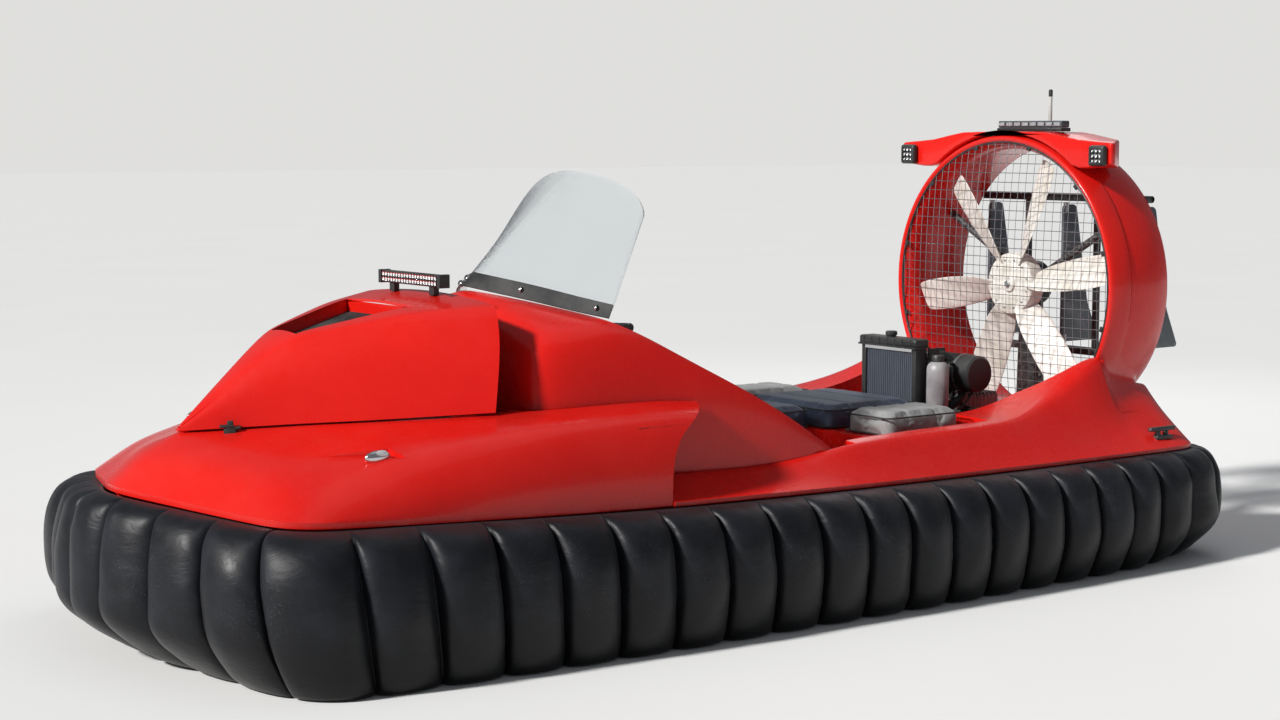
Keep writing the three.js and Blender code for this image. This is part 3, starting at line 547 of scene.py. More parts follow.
def turnedShape(bm, profile, centre, axis, steps):
    # a profile of radius and distance turned about an axis through the centre
    along = Vector(axis).normalized()
    side = along.orthogonal().normalized()
    spots = [bm.verts.new(centre + side * r + along * d) for r, d in profile]
    edges = [bm.edges.new(pair) for pair in zip(spots, spots[1:])]
    bmesh.ops.spin(bm, geom=[*spots, *edges], cent=centre, axis=along, dvec=(0, 0, 0),
                   angle=math.tau, steps=steps, use_merge=True, use_duplicate=False)
    bmesh.ops.remove_doubles(bm, verts=bm.verts, dist=1e-6)


def turnedPiece(name, profile, centre, axis, steps, material, angle=35):
    bm = bmesh.new()
    turnedShape(bm, profile, centre, axis, steps)
    bmesh.ops.recalc_face_normals(bm, faces=bm.faces)
    return sharpen(newObject(name, bm, material), angle)


def addBox(bm, low, high):
    # a box between two corners of the craft's own frame
    made = bmesh.ops.create_cube(bm, size=1)["verts"]
    size = [b - a for a, b in zip(low, high)]
    bmesh.ops.scale(bm, vec=size, verts=made)
    bmesh.ops.translate(bm, vec=place(*[(a + b) / 2 for a, b in zip(low, high)]), verts=made)
    return made


def bevelAll(bm, width, segments=2, angle=30):
    sharp = [e for e in bm.edges if e.is_manifold and e.calc_face_angle(0) > math.radians(angle)]
    bmesh.ops.bevel(bm, geom=sharp, offset=width, offset_type="OFFSET", segments=segments, profile=0.5,
                    affect="EDGES", clamp_overlap=True, material=-1)


def bevelledBoxes(boxes, width, segments=2):
    bm = bmesh.new()
    for low, high in boxes:
        addBox(bm, low, high)
    bevelAll(bm, width, segments=segments)
    return bm


def carry(piece, body, slotName, *replaced):
    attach(piece, body)
    if replaced:
        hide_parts(*replaced)
    return piece


def addPart(name, bm, material, body, slotName, *replaced, angle=40):
    return carry(sharpen(newObject(name, bm, material), angle), body, slotName, *replaced)


def retouch(names, material):
    # a CAD piece that is kept as it is gets one of the finishes
    for name in names:
        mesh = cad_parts[name].data
        mesh.materials.clear()
        mesh.materials.append(material)


def pourInto(bm, part):
    loose = bpy.data.meshes.new("part")
    part.to_mesh(loose)
    part.free()
    bm.from_mesh(loose)
    bpy.data.meshes.remove(loose)


def boltHeads(name, spots, radius, height, material, washer=0.0):
    # round-headed fasteners; each spot is a place and the way it faces
    bm = bmesh.new()
    for spot, facing in spots:
        outline = [(radius * 1.9, 0), (radius * 1.9, height * 0.25),
                   (radius, height * 0.3)] if washer else [(radius, 0)]
        profile = [*outline, (radius, height * 0.55), (radius * 0.72, height * 0.92), (0.0001, height)]
        part = bmesh.new()
        turnedShape(part, profile, Vector(spot), facing, 10)
        pourInto(bm, part)
    bmesh.ops.recalc_face_normals(bm, faces=bm.faces)
    return newObject(name, bm, material)


# the deck's edge, port half from the bow to the stern
# x, y, z, heading of its outward normal, bulge of the skirt, its foot, sweep of the foot along the rail
railRows = [
    (0, -2.130, 0.555, -90, 0.130, -0.140, 0), (0.380, -2.005, 0.530, -74, 0.165, -0.035, 0.015),
    (0.690, -1.895, 0.510, -62, 0.190, 0.075, 0.090), (0.765, -1.800, 0.505, -25, 0.200, 0.140, 0.075),
    (0.812, -1.400, 0.492, -6, 0.200, 0.140, 0.050), (0.850, -0.900, 0.474, -3, 0.200, 0.130, 0.035),
    (0.868, -0.300, 0.456, 0, 0.196, 0.122, 0.030), (0.870, 0.900, 0.441, 0, 0.190, 0.112, 0.030),
    (0.856, 1.750, 0.437, 4, 0.180, 0.080, 0.025), (0.825, 2.175, 0.436, 32, 0.140, -0.020, 0.010),
    (0.715, 2.262, 0.436, 70, 0.118, -0.040, 0.005), (0.350, 2.287, 0.430, 84, 0.112, -0.050, 0),
    (0, 2.295, 0.372, 90, 0.108, -0.055, 0)]
bowCorner, sternCorner = 2, 9

skirtShape = {
    "stations": (0.0, 0.022, 0.07, 0.15, 0.26, 0.40, 0.56, 0.70, 0.82, 0.91, 0.965),
    "crease": 0.46,          # how deep the gap between two fingers runs, as a share of the bulge
    "lean": 0.82,            # under 1 puts each finger's fullest part nearer its leading edge
    "outerPoints": 30,
    "pucker": 0.0060,        # short folds across each seam
    "gather": 0.0100,        # upright folds under the deck's edge
    "slack": 0.009,          # slow unevenness of each finger
    "hemScallop": 0.030,
    "ownFullness": 0.035,    # how far one finger is fuller than the next
    "ridge": 0.004,
    "runs": {"port": (20, 0.8, 0.0), "starboard": (20, 0.8, 40.0), "bow": (7, 1.0, 80.0),
             "stern": (9, 1.0, 120.0)},
}   # runs: fingers, width of the last one as a share of the first, place in the noise


def railLine(rows):
    spots = throughPoints([Vector(row[:3]) for row in rows], 700)
    marks = []
    for row in rows:
        near = min(range(len(spots)), key=lambda i: (spots[i] - Vector(row[:3])).length)
        marks.append(near)

    def at(share):
        want = min(max(share, 0), 1) * (len(spots) - 1)
        k = min(int(want), len(spots) - 2)
        spot = spots[k].lerp(spots[k + 1], want - k)
        i = max([n for n in range(len(rows) - 1) if marks[n] <= want] or [0])
        t = min(max((want - marks[i]) / max(marks[i + 1] - marks[i], 1), 0), 1)
        return spot, *[a * (1 - t) + b * t for a, b in zip(rows[i][3:], rows[i + 1][3:])]
    return at


def skirtSection(spot, heading, bulge, foot, sweep, fullness, scallop):
    top = spot.z
    out = bulge * fullness
    toe = foot * (0.6 + 0.4 * fullness) - scallop
    outer = throughPoints([
        (-0.010, 0, top - 0.004), (out * 0.34, 0, top - 0.006), (out * 0.66, 0, top - 0.030),
        (out * 0.90, 0, top * 0.80), (out, 0, top * 0.54), (out * 0.93, 0, top * 0.315),
        (toe + (out - toe) * 0.36, 0, top * 0.09), (toe, 0, 0.0008)], skirtShape["outerPoints"])
    inner = [Vector(p) for p in ((toe - 0.055, 0, 0.0008), (min(toe - 0.065, -0.06), 0, top * 0.2),
                                 (-0.052, 0, top * 0.5), (-0.038, 0, top - 0.030))]
    turn = math.radians(heading)
    ring = []
    for p in [*outer, *inner]:
        aft = sweep * (1 - p.z / top)
        ring.append((spot.x + p.x * math.cos(turn) - aft * math.sin(turn),
                     spot.y + p.x * math.sin(turn) + aft * math.cos(turn), p.z))
    return ring


def skirtRun(name, rows, fingers, taper, first):
    line = railLine(rows)
    grow = lambda k: (k - (1 - taper) * k * k / (2 * fingers)) / (fingers - (1 - taper) * fingers / 2)
    rings = []
    for finger in range(fingers):
        own = noise.cell(Vector((first + finger * 1.7, 2.5, 0.5)))
        for station in [*skirtShape["stations"], *([1.0] if finger == fingers - 1 else [])]:
            across = 2 * station ** skirtShape["lean"] - 1
            swell = math.sqrt(max(1 - across ** 2, 0)) ** 0.85
            spot, heading, bulge, foot, sweep = line(grow(finger + station))
            fullness = 1 - skirtShape["crease"] * (1 - swell) + skirtShape["ownFullness"] * (own - 0.5)
            scallop = skirtShape["hemScallop"] * (1 - swell)
            ring = skirtSection(spot, heading, bulge, foot, sweep, fullness, scallop)
            turn = math.radians(heading)
            outward = Vector((math.cos(turn), math.sin(turn), 0))
            moved = []
            for k, p in enumerate(ring):
                down = k / skirtShape["outerPoints"]
                if 1 < k < skirtShape["outerPoints"] - 1:
                    held = min(1, down * 9) * min(1, (1 - down) * 5)
                    beat = noise.noise(Vector((first + finger * 3.1 + (station > 0.5), down * 13, 0.3)))
                    folds = (math.sin(down * 46 + 7 * beat + finger * 1.9) * (1 - swell) ** 1.3
                             * min(1, 12 * (1 - abs(2 * station - 1))))
                    gathers = math.sin(station * 21 + finger * 2.3 + 3 * beat) * math.exp(-down * 9) * swell
                    roll = noise.noise(Vector((p[0] * 4.3, p[1] * 4.3 + first, p[2] * 6.5)))
                    ridge = 1 - abs(noise.noise(Vector((p[0] * 7, p[1] * 7, p[2] * 3.2 + first)))) * 2
                    lift = held * (skirtShape["pucker"] * folds + skirtShape["gather"] * gathers
                                   + skirtShape["slack"] * roll + skirtShape["ridge"] * ridge * ridge)
                    p = (p[0] + outward.x * lift, p[1] + outward.y * lift, p[2] + 0.25 * lift)
                moved.append(p)
            rings.append(moved)
    bm = capEnds(gridSheet(rings, wrapped=True))
    piece = subdivide(newObject(name, bm, skirtFabric), 1)
    return carry(piece, "root", "skirt_fabric", name.replace("Piece", ""))


def mirrorRow(row):
    return (-row[0], row[1], row[2], 180 - row[3], row[4], row[5], -row[6])


portRows = railRows[bowCorner:sternCorner + 1]
bowRows = [*[(*r[:3], r[3] - 360, *r[4:]) for r in map(mirrorRow, reversed(railRows[1:bowCorner + 1]))],
           *railRows[:bowCorner + 1]]
sternRows = [*railRows[sternCorner:], *map(mirrorRow, reversed(railRows[sternCorner:-1]))]
for side, rows in (("port", portRows), ("starboard", [mirrorRow(r) for r in portRows]), ("bow", bowRows),
                   ("stern", sternRows)):
    skirtRun("skirt_" + side + "Piece", rows, *skirtShape["runs"][side])
print("skirt sewn")

hullShape = {
    "panTop": 0.4304, "lipInset": 0.045, "lipHeight": 0.020, "seam": 0.0035,
    "pocket": (0.505, 0.728), "bay": (0.500, 0.900), "notch": (0.687, 0.900),
}
cowlPlan = [(0, -0.872), (0.545, -0.868), (0.578, -0.820), (0.606, -0.500), (0.640, -0.270), (0.682, 0),
            (0.702, 0.450)]
cockpitPlan = [(0, -0.720), (0.455, -0.470), (0.575, -0.300), (0.635, -0.060), (0.662, 0.120), (0.662, 0.460)]


def roundedPlan(plan, count=28):
    # the same plan as a smooth line, from the centre line outwards
    return [(p.x, p.y) for p in throughPoints([(x, y, 0) for x, y in plan], count)]


def grownPlan(plan, extra):
    return [(0 if x == 0 else x + extra, y - extra if i < 2 else y) for i, (x, y) in enumerate(plan)]


foreRail = [(0, -2.130, .555), (.19, -2.068, .543), (.38, -2.005, .530), (.56, -1.945, .519),
            (.69, -1.895, .510), (.768, -1.80, .505), (.796, -1.58, .498), (.828, -1.20, .484),
            (.857, -.75, .470), (.868, -.06, .453)]
foreHeadings = (-90, -77, -74, -71, -58, -28, -9, -5, -3, 0)
foreMid = [(0, -2.082, .622), (.175, -2.020, .606), (.350, -1.962, .592), (.525, -1.898, .580),
           (.650, -1.848, .572), (.7322, -1.7468, .5712), (.7798, -1.56, .576), (.829, -1.20, .5904),
           (.862, -.75, .60), (.862, -.06, .59)]
foreFold = [(0, -2.02, .672), (.160, -1.965, .660), (.315, -1.900, .650), (.460, -1.842, .642),
            (.565, -1.785, .640), (.6522, -1.6738, .6452), (.720, -1.50, .6664), (.7864, -1.20, .7048),
            (.820, -.75, .735), (.815, -.06, .742)]
foreShelf = [(0, -1.965, .700), (.125, -1.905, .696), (.240, -1.835, .692), (.350, -1.765, .690),
             (.440, -1.690, .692), (.5292, -1.5842, .7012), (.630, -1.44, .7212), (.7178, -1.2, .752),
             (.757, -.75, .78), (.75, -.06, .79)]
foreSeam = [(0, -1.905, .728), (.05, -1.85, .73), (.10, -1.76, .734), (.175, -1.64, .742), (.255, -1.51, .75),
            (.34, -1.375, .756), (.42, -1.245, .762), (.56, -1.0, .776), (.60, -.75, .786), (.60, -.06, .793)]


def insetRow(row, headings, inset, z=None):
    return [(x - inset * math.cos(math.radians(h)), y - inset * math.sin(math.radians(h)), p if z is None else z)
            for (x, y, p), h in zip(row, headings)]


foreRings = [
    insetRow(foreRail, foreHeadings, hullShape["lipInset"], hullShape["panTop"]),
    insetRow(foreRail, foreHeadings, hullShape["lipInset"]),
    foreRail,
    [(x, y, z + hullShape["lipHeight"]) for x, y, z in foreRail],
    foreMid, foreFold, foreShelf, foreSeam,
]


def turnedRing(half):
    # port half from the aft end to the stem, then the starboard half
    return [*reversed(half), *[(-x, y, z) for x, y, z in half[1:]]]


forebody = newObject("forebodyShell", capEnds(gridSheet(
    [turnedRing(ring) for ring in foreRings], wrapped=True, creasedRows=(0, 1, 2, 3, 7),
    creasedColumns=(0, 18), creaseValue=1.0)), gelcoat)
subdivide(forebody, 2, applied=True)
archEdge = [(p.x, p.y) for p in throughPoints(
    [(-0.090, 0.900, 0), (-0.150, 0.789, 0), (-0.225, 0.781, 0), (-0.318, 0.763, 0), (-0.390, 0.726, 0),
     (-0.445, 0.684, 0), (-0.484, 0.625, 0), (-0.500, 0.560, 0)], 34)]
archEdge += [(-0.508, 0.400), (0.1, 0.400), (0.1, 0.900)]
pocketPlan = [(0.560, -0.735), (0.700, -0.735), (0.760, -0.715), (0.790, -0.680), (0.808, -0.600), (0.812, 0),
              (0.560, 0)]
lampNotch = [(0.500, -1.668), (0.660, -1.760), (0.800, -1.500), (0.790, -1.410), (0.716, -1.436),
             (0.612, -1.450)]
bayPlan = [(0, -1.640), (0.130, -1.540), (0.300, -1.280), (0.430, -1.080), (0.500, -0.985), (0.500, -0.900)]
cutAway(forebody,
        planCutter(mirroredPlan(roundedPlan(grownPlan(cowlPlan, hullShape["seam"]))), 0.42, 1.3),
        sideCutter(archEdge, -1.0, 1.0),
        planCutter(mirroredPlan(bayPlan), *hullShape["bay"]),
        planCutter(pocketPlan, *hullShape["pocket"]),
        planCutter([(-x, y) for x, y in reversed(pocketPlan)], *hullShape["pocket"]), selfCrossing=True)
cutAway(forebody, planCutter(lampNotch, *hullShape["notch"]),
        planCutter([(-x, y) for x, y in reversed(lampNotch)], *hullShape["notch"]))
softenEdges(sharpen(forebody), 0.0025)
carry(forebody, "root", "hull_gelcoat", "forebody", "side_arm_port", "side_arm_starboard")
print("forebody moulded")

cowlFoot = [(0, -.872), (.30, -.870), (.50, -.862), (.560, -.82), (.590, -.66), (.612, -.46), (.645, -.24),
            (.682, 0), (.700, .25), (.704, .45)]
cowlRings = [
    [(x, y, hullShape["panTop"]) for x, y in cowlFoot],
    [(x, y, z) for (x, y), z in zip(cowlFoot, (.79, .79, .79, .79, .79, .79, .786, .70, .58, .455))],
    [(0, -.858, 1.135), (.28, -.852, 1.10), (.455, -.845, 1.045), (.515, -.79, 1.03), (.548, -.64, 1.03),
     (.575, -.46, 1.02), (.625, -.24, .90), (.676, 0, .775), (.698, .25, .625), (.702, .45, .480)],
    [(0, -.795, 1.160), (.20, -.685, 1.128), (.36, -.588, 1.095), (.455, -.525, 1.072), (.502, -.492, 1.056),
     (.560, -.40, 1.01), (.612, -.24, .915), (.668, 0, .79), (.690, .25, .64), (.694, .45, .492)],
]
cowl = newObject("cowlShell", capEnds(gridSheet(
    [turnedRing(ring) for ring in cowlRings], wrapped=True, creasedRows=(0, 3), creasedColumns=(0, 18),
    creaseValue=1.0)), gelcoat)
subdivide(cowl, 2, applied=True)
cutAway(cowl, planCutter(mirroredPlan(roundedPlan(cockpitPlan)), 0.3, 1.3))
softenEdges(sharpen(cowl), 0.002)
carry(cowl, "root", "hull_gelcoat", "cowl")

deckRows = [   # y, rail x and z, middle of the slope x and z, inner edge x and z
    (-.499, .865, .462, .786, .500, .708, .536), (0, .869, .452, .786, .495, .712, .532),
    (.300, .870, .447, .790, .502, .712, .566), (.450, .870, .445, .792, .512, .714, .600),
    (1.200, .866, .439, .790, .512, .706, .604), (1.330, .865, .438, .784, .512, .676, .620),
    (1.460, .863, .438, .772, .514, .648, .646), (1.580, .861, .437, .756, .516, .622, .682),
    (1.690, .859, .437, .736, .522, .604, .726), (1.780, .857, .437, .714, .530, .592, .770),
    (1.850, .856, .437, .694, .540, .582, .800), (1.890, .855, .437, .682, .546, .576, .806),
    (1.940, .853, .437, .668, .568, .560, .745), (2.020, .849, .437, .660, .574, .546, .712),
    (2.110, .843, .436, .655, .577, .532, .692), (2.170, .826, .436, .646, .575, .521, .683),
    (2.212, .794, .436, .630, .570, .512, .677), (2.245, .745, .436, .605, .565, .505, .672),
    (2.275, .650, .436, .565, .558, .498, .668)]


def deckSection(row):
    y, xRail, zRail, xMid, zMid, xTop, zTop = row
    foot, inset = hullShape["panTop"], hullShape["lipInset"]
    half = [(0, foot), (xRail - inset, foot), (xRail - inset, zRail), (xRail, zRail), (xRail, zRail + 0.014),
            (xMid, zMid), (xTop + 0.008, zTop - 0.012), (xTop - 0.010, zTop), (0, zTop)]
    return bothHalves([(x, y, z) for x, z in half])


deck = newObject("deckShell", capEnds(gridSheet(
    [deckSection(row) for row in deckRows], wrapped=True, creasedRows=(0, 11),
    creasedColumns=(0, 1, 2, 3, 4, 12, 13, 14, 15, 16), creaseValue=1.0)), gelcoat)
subdivide(deck, 2, applied=True)


def ductBed():
    # the room that the duct and the air in front of it take out of the deck
    bm = bmesh.new()
    turnedShape(bm, [(0.0001, 1.500), (0.606, 1.500), (0.612, 1.860), (0.612, 1.890), (0.644, 1.890),
                     (0.644, 2.400), (0.0001, 2.400)],
                Vector((0, shiftY, fanHeight)), (0, 1, 0), 128)
    bmesh.ops.recalc_face_normals(bm, faces=bm.faces)
    return newObject("ductBed", bm)


wellPlan = [(-.655, -.6), (.655, -.6), (.655, 1.185), (-.655, 1.185)]
bayBox = [(-.455, 1.215), (.455, 1.215), (.455, 1.86), (-.455, 1.86)]
cutAway(deck,
        planCutter(wellPlan, 0.3, 1.2),
        planCutter(bayBox, 0.3, 1.2),
        planCutter(mirroredPlan(roundedPlan(grownPlan(cowlPlan, hullShape["seam"]))), 0.3, 1.2),
        ductBed())
softenEdges(sharpen(deck), 0.004)
carry(deck, "root", "hull_gelcoat", "deck_aft")
retouch(("hull_pan", "seat_base"), gelcoat)
retouch(("skid_port", "skid_centre", "skid_starboard"), softRubber)
print("deck moulded")

hoodShape = {
    "wall": 0.010,
    "vent": [(0, -1.500), (0.088, -1.500), (0.225, -1.130), (0, -1.130)],
    "ventFloor": {"front": -1.505, "low": 0.996, "run": 0.39, "rise": 0.082},
    "ventMesh": {"pitch": 0.0125, "length": 0.40, "half": (0.235, 0.196), "middle": -1.315, "wire": 0.0048},
    # y at the foot, y at the top, half-width at the foot and top, height of the foot, top edge, crown
    "rows": [
        (-1.892, -1.880, 0.014, 0.006, 0.734, 0.752, 0.758),
        (-1.800, -1.788, 0.066, 0.032, 0.738, 0.828, 0.836),
        (-1.700, -1.690, 0.122, 0.060, 0.744, 0.905, 0.914),
        (-1.548, -1.530, 0.212, 0.104, 0.752, 1.030, 1.042),
        (-1.470, -1.455, 0.265, 0.150, 0.756, 1.050, 1.062),
        (-1.390, -1.380, 0.318, 0.196, 0.760, 1.066, 1.078),
        (-1.280, -1.275, 0.384, 0.250, 0.766, 1.090, 1.104),
        (-1.180, -1.175, 0.446, 0.300, 0.772, 1.112, 1.128),
        (-1.090, -1.050, 0.504, 0.370, 0.778, 1.125, 1.146),
        (-1.010, -0.935, 0.556, 0.436, 0.783, 1.136, 1.160)],
}


def hoodSection(row):
    yFoot, yTop, wFoot, wTop, zFoot, zTop, zCrown = row
    mix = lambda a, b, t: a + (b - a) * t
    half = [
        (wFoot, yFoot, zFoot + 0.003),
        (mix(wFoot, wTop, 0.20) + wFoot * 0.020, mix(yFoot, yTop, 0.25), mix(zFoot, zTop, 0.28)),
        (mix(wFoot, wTop, 0.45) + wFoot * 0.030, mix(yFoot, yTop, 0.60), mix(zFoot, zTop, 0.66)),
        (mix(wFoot, wTop, 0.86) + wFoot * 0.020, mix(yFoot, yTop, 0.9), mix(zFoot, zTop, 0.91)),
        (wTop, yTop, zTop - 0.006), (wTop * 0.93, yTop, zTop + 0.001),
        (wTop * 0.5, yTop, mix(zTop, zCrown, 0.7)), (0, yTop, zCrown)]
    return [*half, *[(-x, y, z) for x, y, z in reversed(half[:-1])]]


def makeHood():
    bm = gridSheet([hoodSection(row) for row in hoodShape["rows"]], creasedColumns=(4, 10), creaseValue=0.55)
    bmesh.ops.recalc_face_normals(bm, faces=bm.faces)
    if sum(f.normal.z for f in bm.faces) < 0:
        bmesh.ops.reverse_faces(bm, faces=bm.faces)
    hood = newObject("hoodShell", bm, gelcoat)
    subdivide(hood, 2, applied=True, corners=True)
    thicken(hood, hoodShape["wall"])
    cutAway(hood, planCutter(mirroredPlan(hoodShape["vent"]), 0.9, 1.3))
    softenEdges(sharpen(hood), 0.002)
    carry(hood, "hood", "hull_gelcoat", "hood")
    # the vent's side walls stand down from the opening to a perforated floor
    rim, slope, net = mirroredPlan(hoodShape["vent"]), hoodShape["ventFloor"], hoodShape["ventMesh"]
    floorHeight = lambda y: slope["low"] + (y - slope["front"]) / slope["run"] * slope["rise"]
    wall = bmesh.new()
    upper = [wall.verts.new(place(x * 1.004, y, floorHeight(y) + 0.044)) for x, y in rim]
    lower = [wall.verts.new(place(x * 0.985, y, floorHeight(y) + 0.004)) for x, y in rim]
    ringEdges = [[wall.edges.new((a, b)) for a, b in zip(r, r[1:] + r[:1])] for r in (upper, lower)]
    bmesh.ops.bridge_loops(wall, edges=[*ringEdges[0], *ringEdges[1]])
    bmesh.ops.recalc_face_normals(wall, faces=wall.faces)
    lining = newObject("ventLining", wall, gelcoat, smooth=False)
    thicken(lining, 0.004, 1.0)
    carry(lining, "hood", "hull_gelcoat")
    halfWide, halfLong = net["half"]
    mesh = bmesh.new()
    bmesh.ops.create_grid(mesh, x_segments=int(2 * halfWide / net["pitch"]),
                          y_segments=int(net["length"] / net["pitch"]), size=1)
    for vert in mesh.verts:
        x, y = vert.co.x * halfWide, net["middle"] + vert.co.y * halfLong
        vert.co = place(x, y, floorHeight(y) + 0.003)
    outside = [v for v in mesh.verts if abs(v.co.x) > 0.094 + (v.co.y - shiftY + 1.5) * 0.37]
    bmesh.ops.delete(mesh, geom=outside, context="VERTS")
    bmesh.ops.wireframe(mesh, faces=mesh.faces, thickness=net["wire"], use_even_offset=True, use_boundary=True,
                        use_replace=True)
    floor = newObject("ventMesh", mesh, mouldedBlack)
    carry(floor, "hood", "black_plastic", "hood_grille")


makeHood()

lightBar = {"half": 0.200, "y": -0.990, "low": 1.180, "high": 1.224, "lamps": 10, "fins": 22,
            "footX": 0.135}


def makeLightBar():
    half, y, low, high = lightBar["half"], lightBar["y"], lightBar["low"], lightBar["high"]
    bm = bevelledBoxes([((-half, y - 0.016, low), (half, y + 0.006, high))], 0.004)
    for i in range(lightBar["fins"]):   # cooling fins behind
        x = -half + 0.012 + i * (2 * half - 0.024) / (lightBar["fins"] - 1)
        addBox(bm, (x - 0.003, y + 0.004, low + 0.004), (x + 0.003, y + 0.024, high - 0.003))
    for side in (-1, 1):  # end caps and feet
        addBox(bm, (side * half - 0.009, y - 0.022, low - 0.002),
               (side * half + 0.009, y + 0.020, high + 0.001))
        x = side * lightBar["footX"]
        addBox(bm, (x - 0.016, y - 0.010, 1.150), (x + 0.016, y + 0.012, low + 0.004))
    body = newObject("lightBarBody", bm, mouldedBlack, smooth=False)
    softenEdges(body, 0.0012)
    carry(body, "hood", "black_plastic", "bow_light_bar")
    pitch = (2 * half - 0.03) / lightBar["lamps"]
    cups, lamps = bmesh.new(), bmesh.new()
    for row in (0, 1):
        for i in range(lightBar["lamps"] * 2):
            x = -half + 0.015 + pitch / 2 * (i + 0.5)
            z = low + (high - low) * (0.29 + 0.42 * row)
            turnedShape(cups, [(0.0088, 0.0055), (0.0078, 0.0030), (0.0030, 0.0005), (0.0001, 0.0004)],
                        place(x, y - 0.0165, z), (0, -1, 0), 12)
            turnedShape(lamps, [(0.0042, 0.0006), (0.0036, 0.0050), (0.0001, 0.0056)],
                        place(x, y - 0.0165, z), (0, -1, 0), 10)
    carry(newObject("lightBarCups", cups, brightSteel), "hood", "chrome_trim")
    carry(newObject("lightBarLamps", lamps, lampDot), "hood", "lamp_lens")


makeLightBar()

latchShape = {
    "spots": [(0.100, -1.757, 0.736), (-0.100, -1.757, 0.736)], "turn": -28, "apart": 0.012,
    "blocks": [   # base, upper and lower lever, pin, each as two corners about the spot
        ((-0.012, -0.020, -0.018), (0.012, 0.020, 0.010)), ((-0.007, -0.034, 0.012), (0.015, 0.014, 0.021)),
        ((-0.007, -0.012, 0.006), (0.013, 0.036, 0.015)), ((-0.009, -0.009, 0.008), (0.011, 0.011, 0.034))],
}


def makeLatches():
    bm = bmesh.new()
    for spot in latchShape["spots"]:
        side = 1 if spot[0] > 0 else -1
        made = []
        for low, high in latchShape["blocks"]:
            made += addBox(bm, [s + d for s, d in zip(spot, low)], [s + d for s, d in zip(spot, high)])
        turn = Matrix.Rotation(math.radians(latchShape["turn"] * side), 3, "Z")
        bmesh.ops.rotate(bm, cent=place(*spot), matrix=turn, verts=made)
        bmesh.ops.translate(bm, vec=(side * latchShape["apart"], 0, 0), verts=made)
    bevelAll(bm, 0.003)
    piece = newObject("hoodLatches", bm, softRubber)
    carry(sharpen(piece), "root", "dusty_rubber")


makeLatches()
print("hood fitted")

screenShape = {
    "sheet": 0.005, "strip": (0.012, 0.03, 0.06, 0.09, 0.122), "stripForward": 0.008, "corner": 0.12,
    "rows": [   # x, y, z at the foot, x, y, z at the top
        (0.496, -0.500, 1.066, 0.398, -0.256, 1.478), (0.400, -0.566, 1.086, 0.330, -0.272, 1.508),
        (0.250, -0.660, 1.120, 0.220, -0.296, 1.545), (0.110, -0.742, 1.148, 0.100, -0.320, 1.568),
        (0, -0.790, 1.166, 0, -0.330, 1.575)],
}


def screenBand(shares, forward):
    foot = throughPoints([r[:3] for r in screenShape["rows"]], 13)
    top = throughPoints([r[3:] for r in screenShape["rows"]], 13)
    columns = [(a, b) for a, b in zip(foot, top)]
    columns += [(Vector((-a.x, a.y, a.z)), Vector((-b.x, b.y, b.z))) for a, b in reversed(columns[:-1])]
    last = len(columns) - 1
    reach = [1 - screenShape["corner"] * (abs(2 * i / last - 1)) ** 9 for i in range(last + 1)]
    rows = [[tuple(a.lerp(b, t * (1 - (1 - r) * t ** 3)) + Vector((0, -forward, 0)))
             for (a, b), r in zip(columns, reach)] for t in shares]
    bm = gridSheet(rows)
    bmesh.ops.recalc_face_normals(bm, faces=bm.faces)
    if sum(f.normal.y for f in bm.faces) > 0:
        bmesh.ops.reverse_faces(bm, faces=bm.faces)
    return bm, columns


def makeScreen():
    bm, columns = screenBand([0.03 + 0.97 * i / 12 for i in range(13)], 0)
    sheet = newObject("screenSheet", bm, clearSheet)
    thicken(sheet, screenShape["sheet"])
    subdivide(sheet, 1, applied=True)
    sharpen(sheet, 50)
    carry(sheet, "root", "clear_sheet", "windscreen")
    bm, columns = screenBand(screenShape["strip"], screenShape["stripForward"])
    strip = newObject("screenStrip", bm, mouldedBlack)
    thicken(strip, 0.006)
    softenEdges(sharpen(strip, 45), 0.0012, angle=50)
    carry(strip, "root", "black_plastic", "screen_strip")
    spots = []
    for share, sides in ((0.02, (1,)), (0.385, (-1, 1)), (0.90, (-1, 1))):
        for side in sides:
            k = (len(columns) - 1) / 2 * (1 + side * share)
            near, far = columns[int(k)], columns[min(int(k) + 1, 24)]
            a, b = near[0].lerp(far[0], k % 1), near[1].lerp(far[1], k % 1)
            spot = a.lerp(b, 0.068)
            facing = Vector((side * (0.25 + 0.35 * share), -1, 0.15)).normalized()
            spots.append((place(spot.x, spot.y - 0.0085, spot.z) + facing * 0.0005, facing))
    carry(boltHeads("screenBolts", spots, 0.0075, 0.006, brightSteel, washer=1), "root", "chrome_trim")


makeScreen()
print("screen bent")

ductShape = {
    "profile": [   # radius, y: the outer wall from the nose to the trailing edge, then the throat
        (0.6225, 1.8952), (0.6258, 1.8970), (0.6288, 1.9010), (0.6312, 1.9070), (0.6334, 1.9170),
        (0.6356, 1.9320), (0.6376, 1.9520), (0.6390, 1.9760), (0.6396, 2.0010), (0.6388, 2.0050),
        (0.6300, 2.0066), (0.6298, 2.0118), (0.6342, 2.0132), (0.6352, 2.0200),
        (0.6340, 2.110), (0.629, 2.170), (0.618, 2.225), (0.601, 2.2695), (0.592, 2.2695), (0.581, 2.190),
        (0.5722, 2.100), (0.5722, 1.985), (0.5765, 1.955), (0.5865, 1.930), (0.5975, 1.9135),
        (0.6060, 1.9040), (0.6120, 1.8990), (0.6175, 1.8962), (0.6225, 1.8952)],
    "steps": 128,
}
fanAxis = place(0, 0, fanHeight)


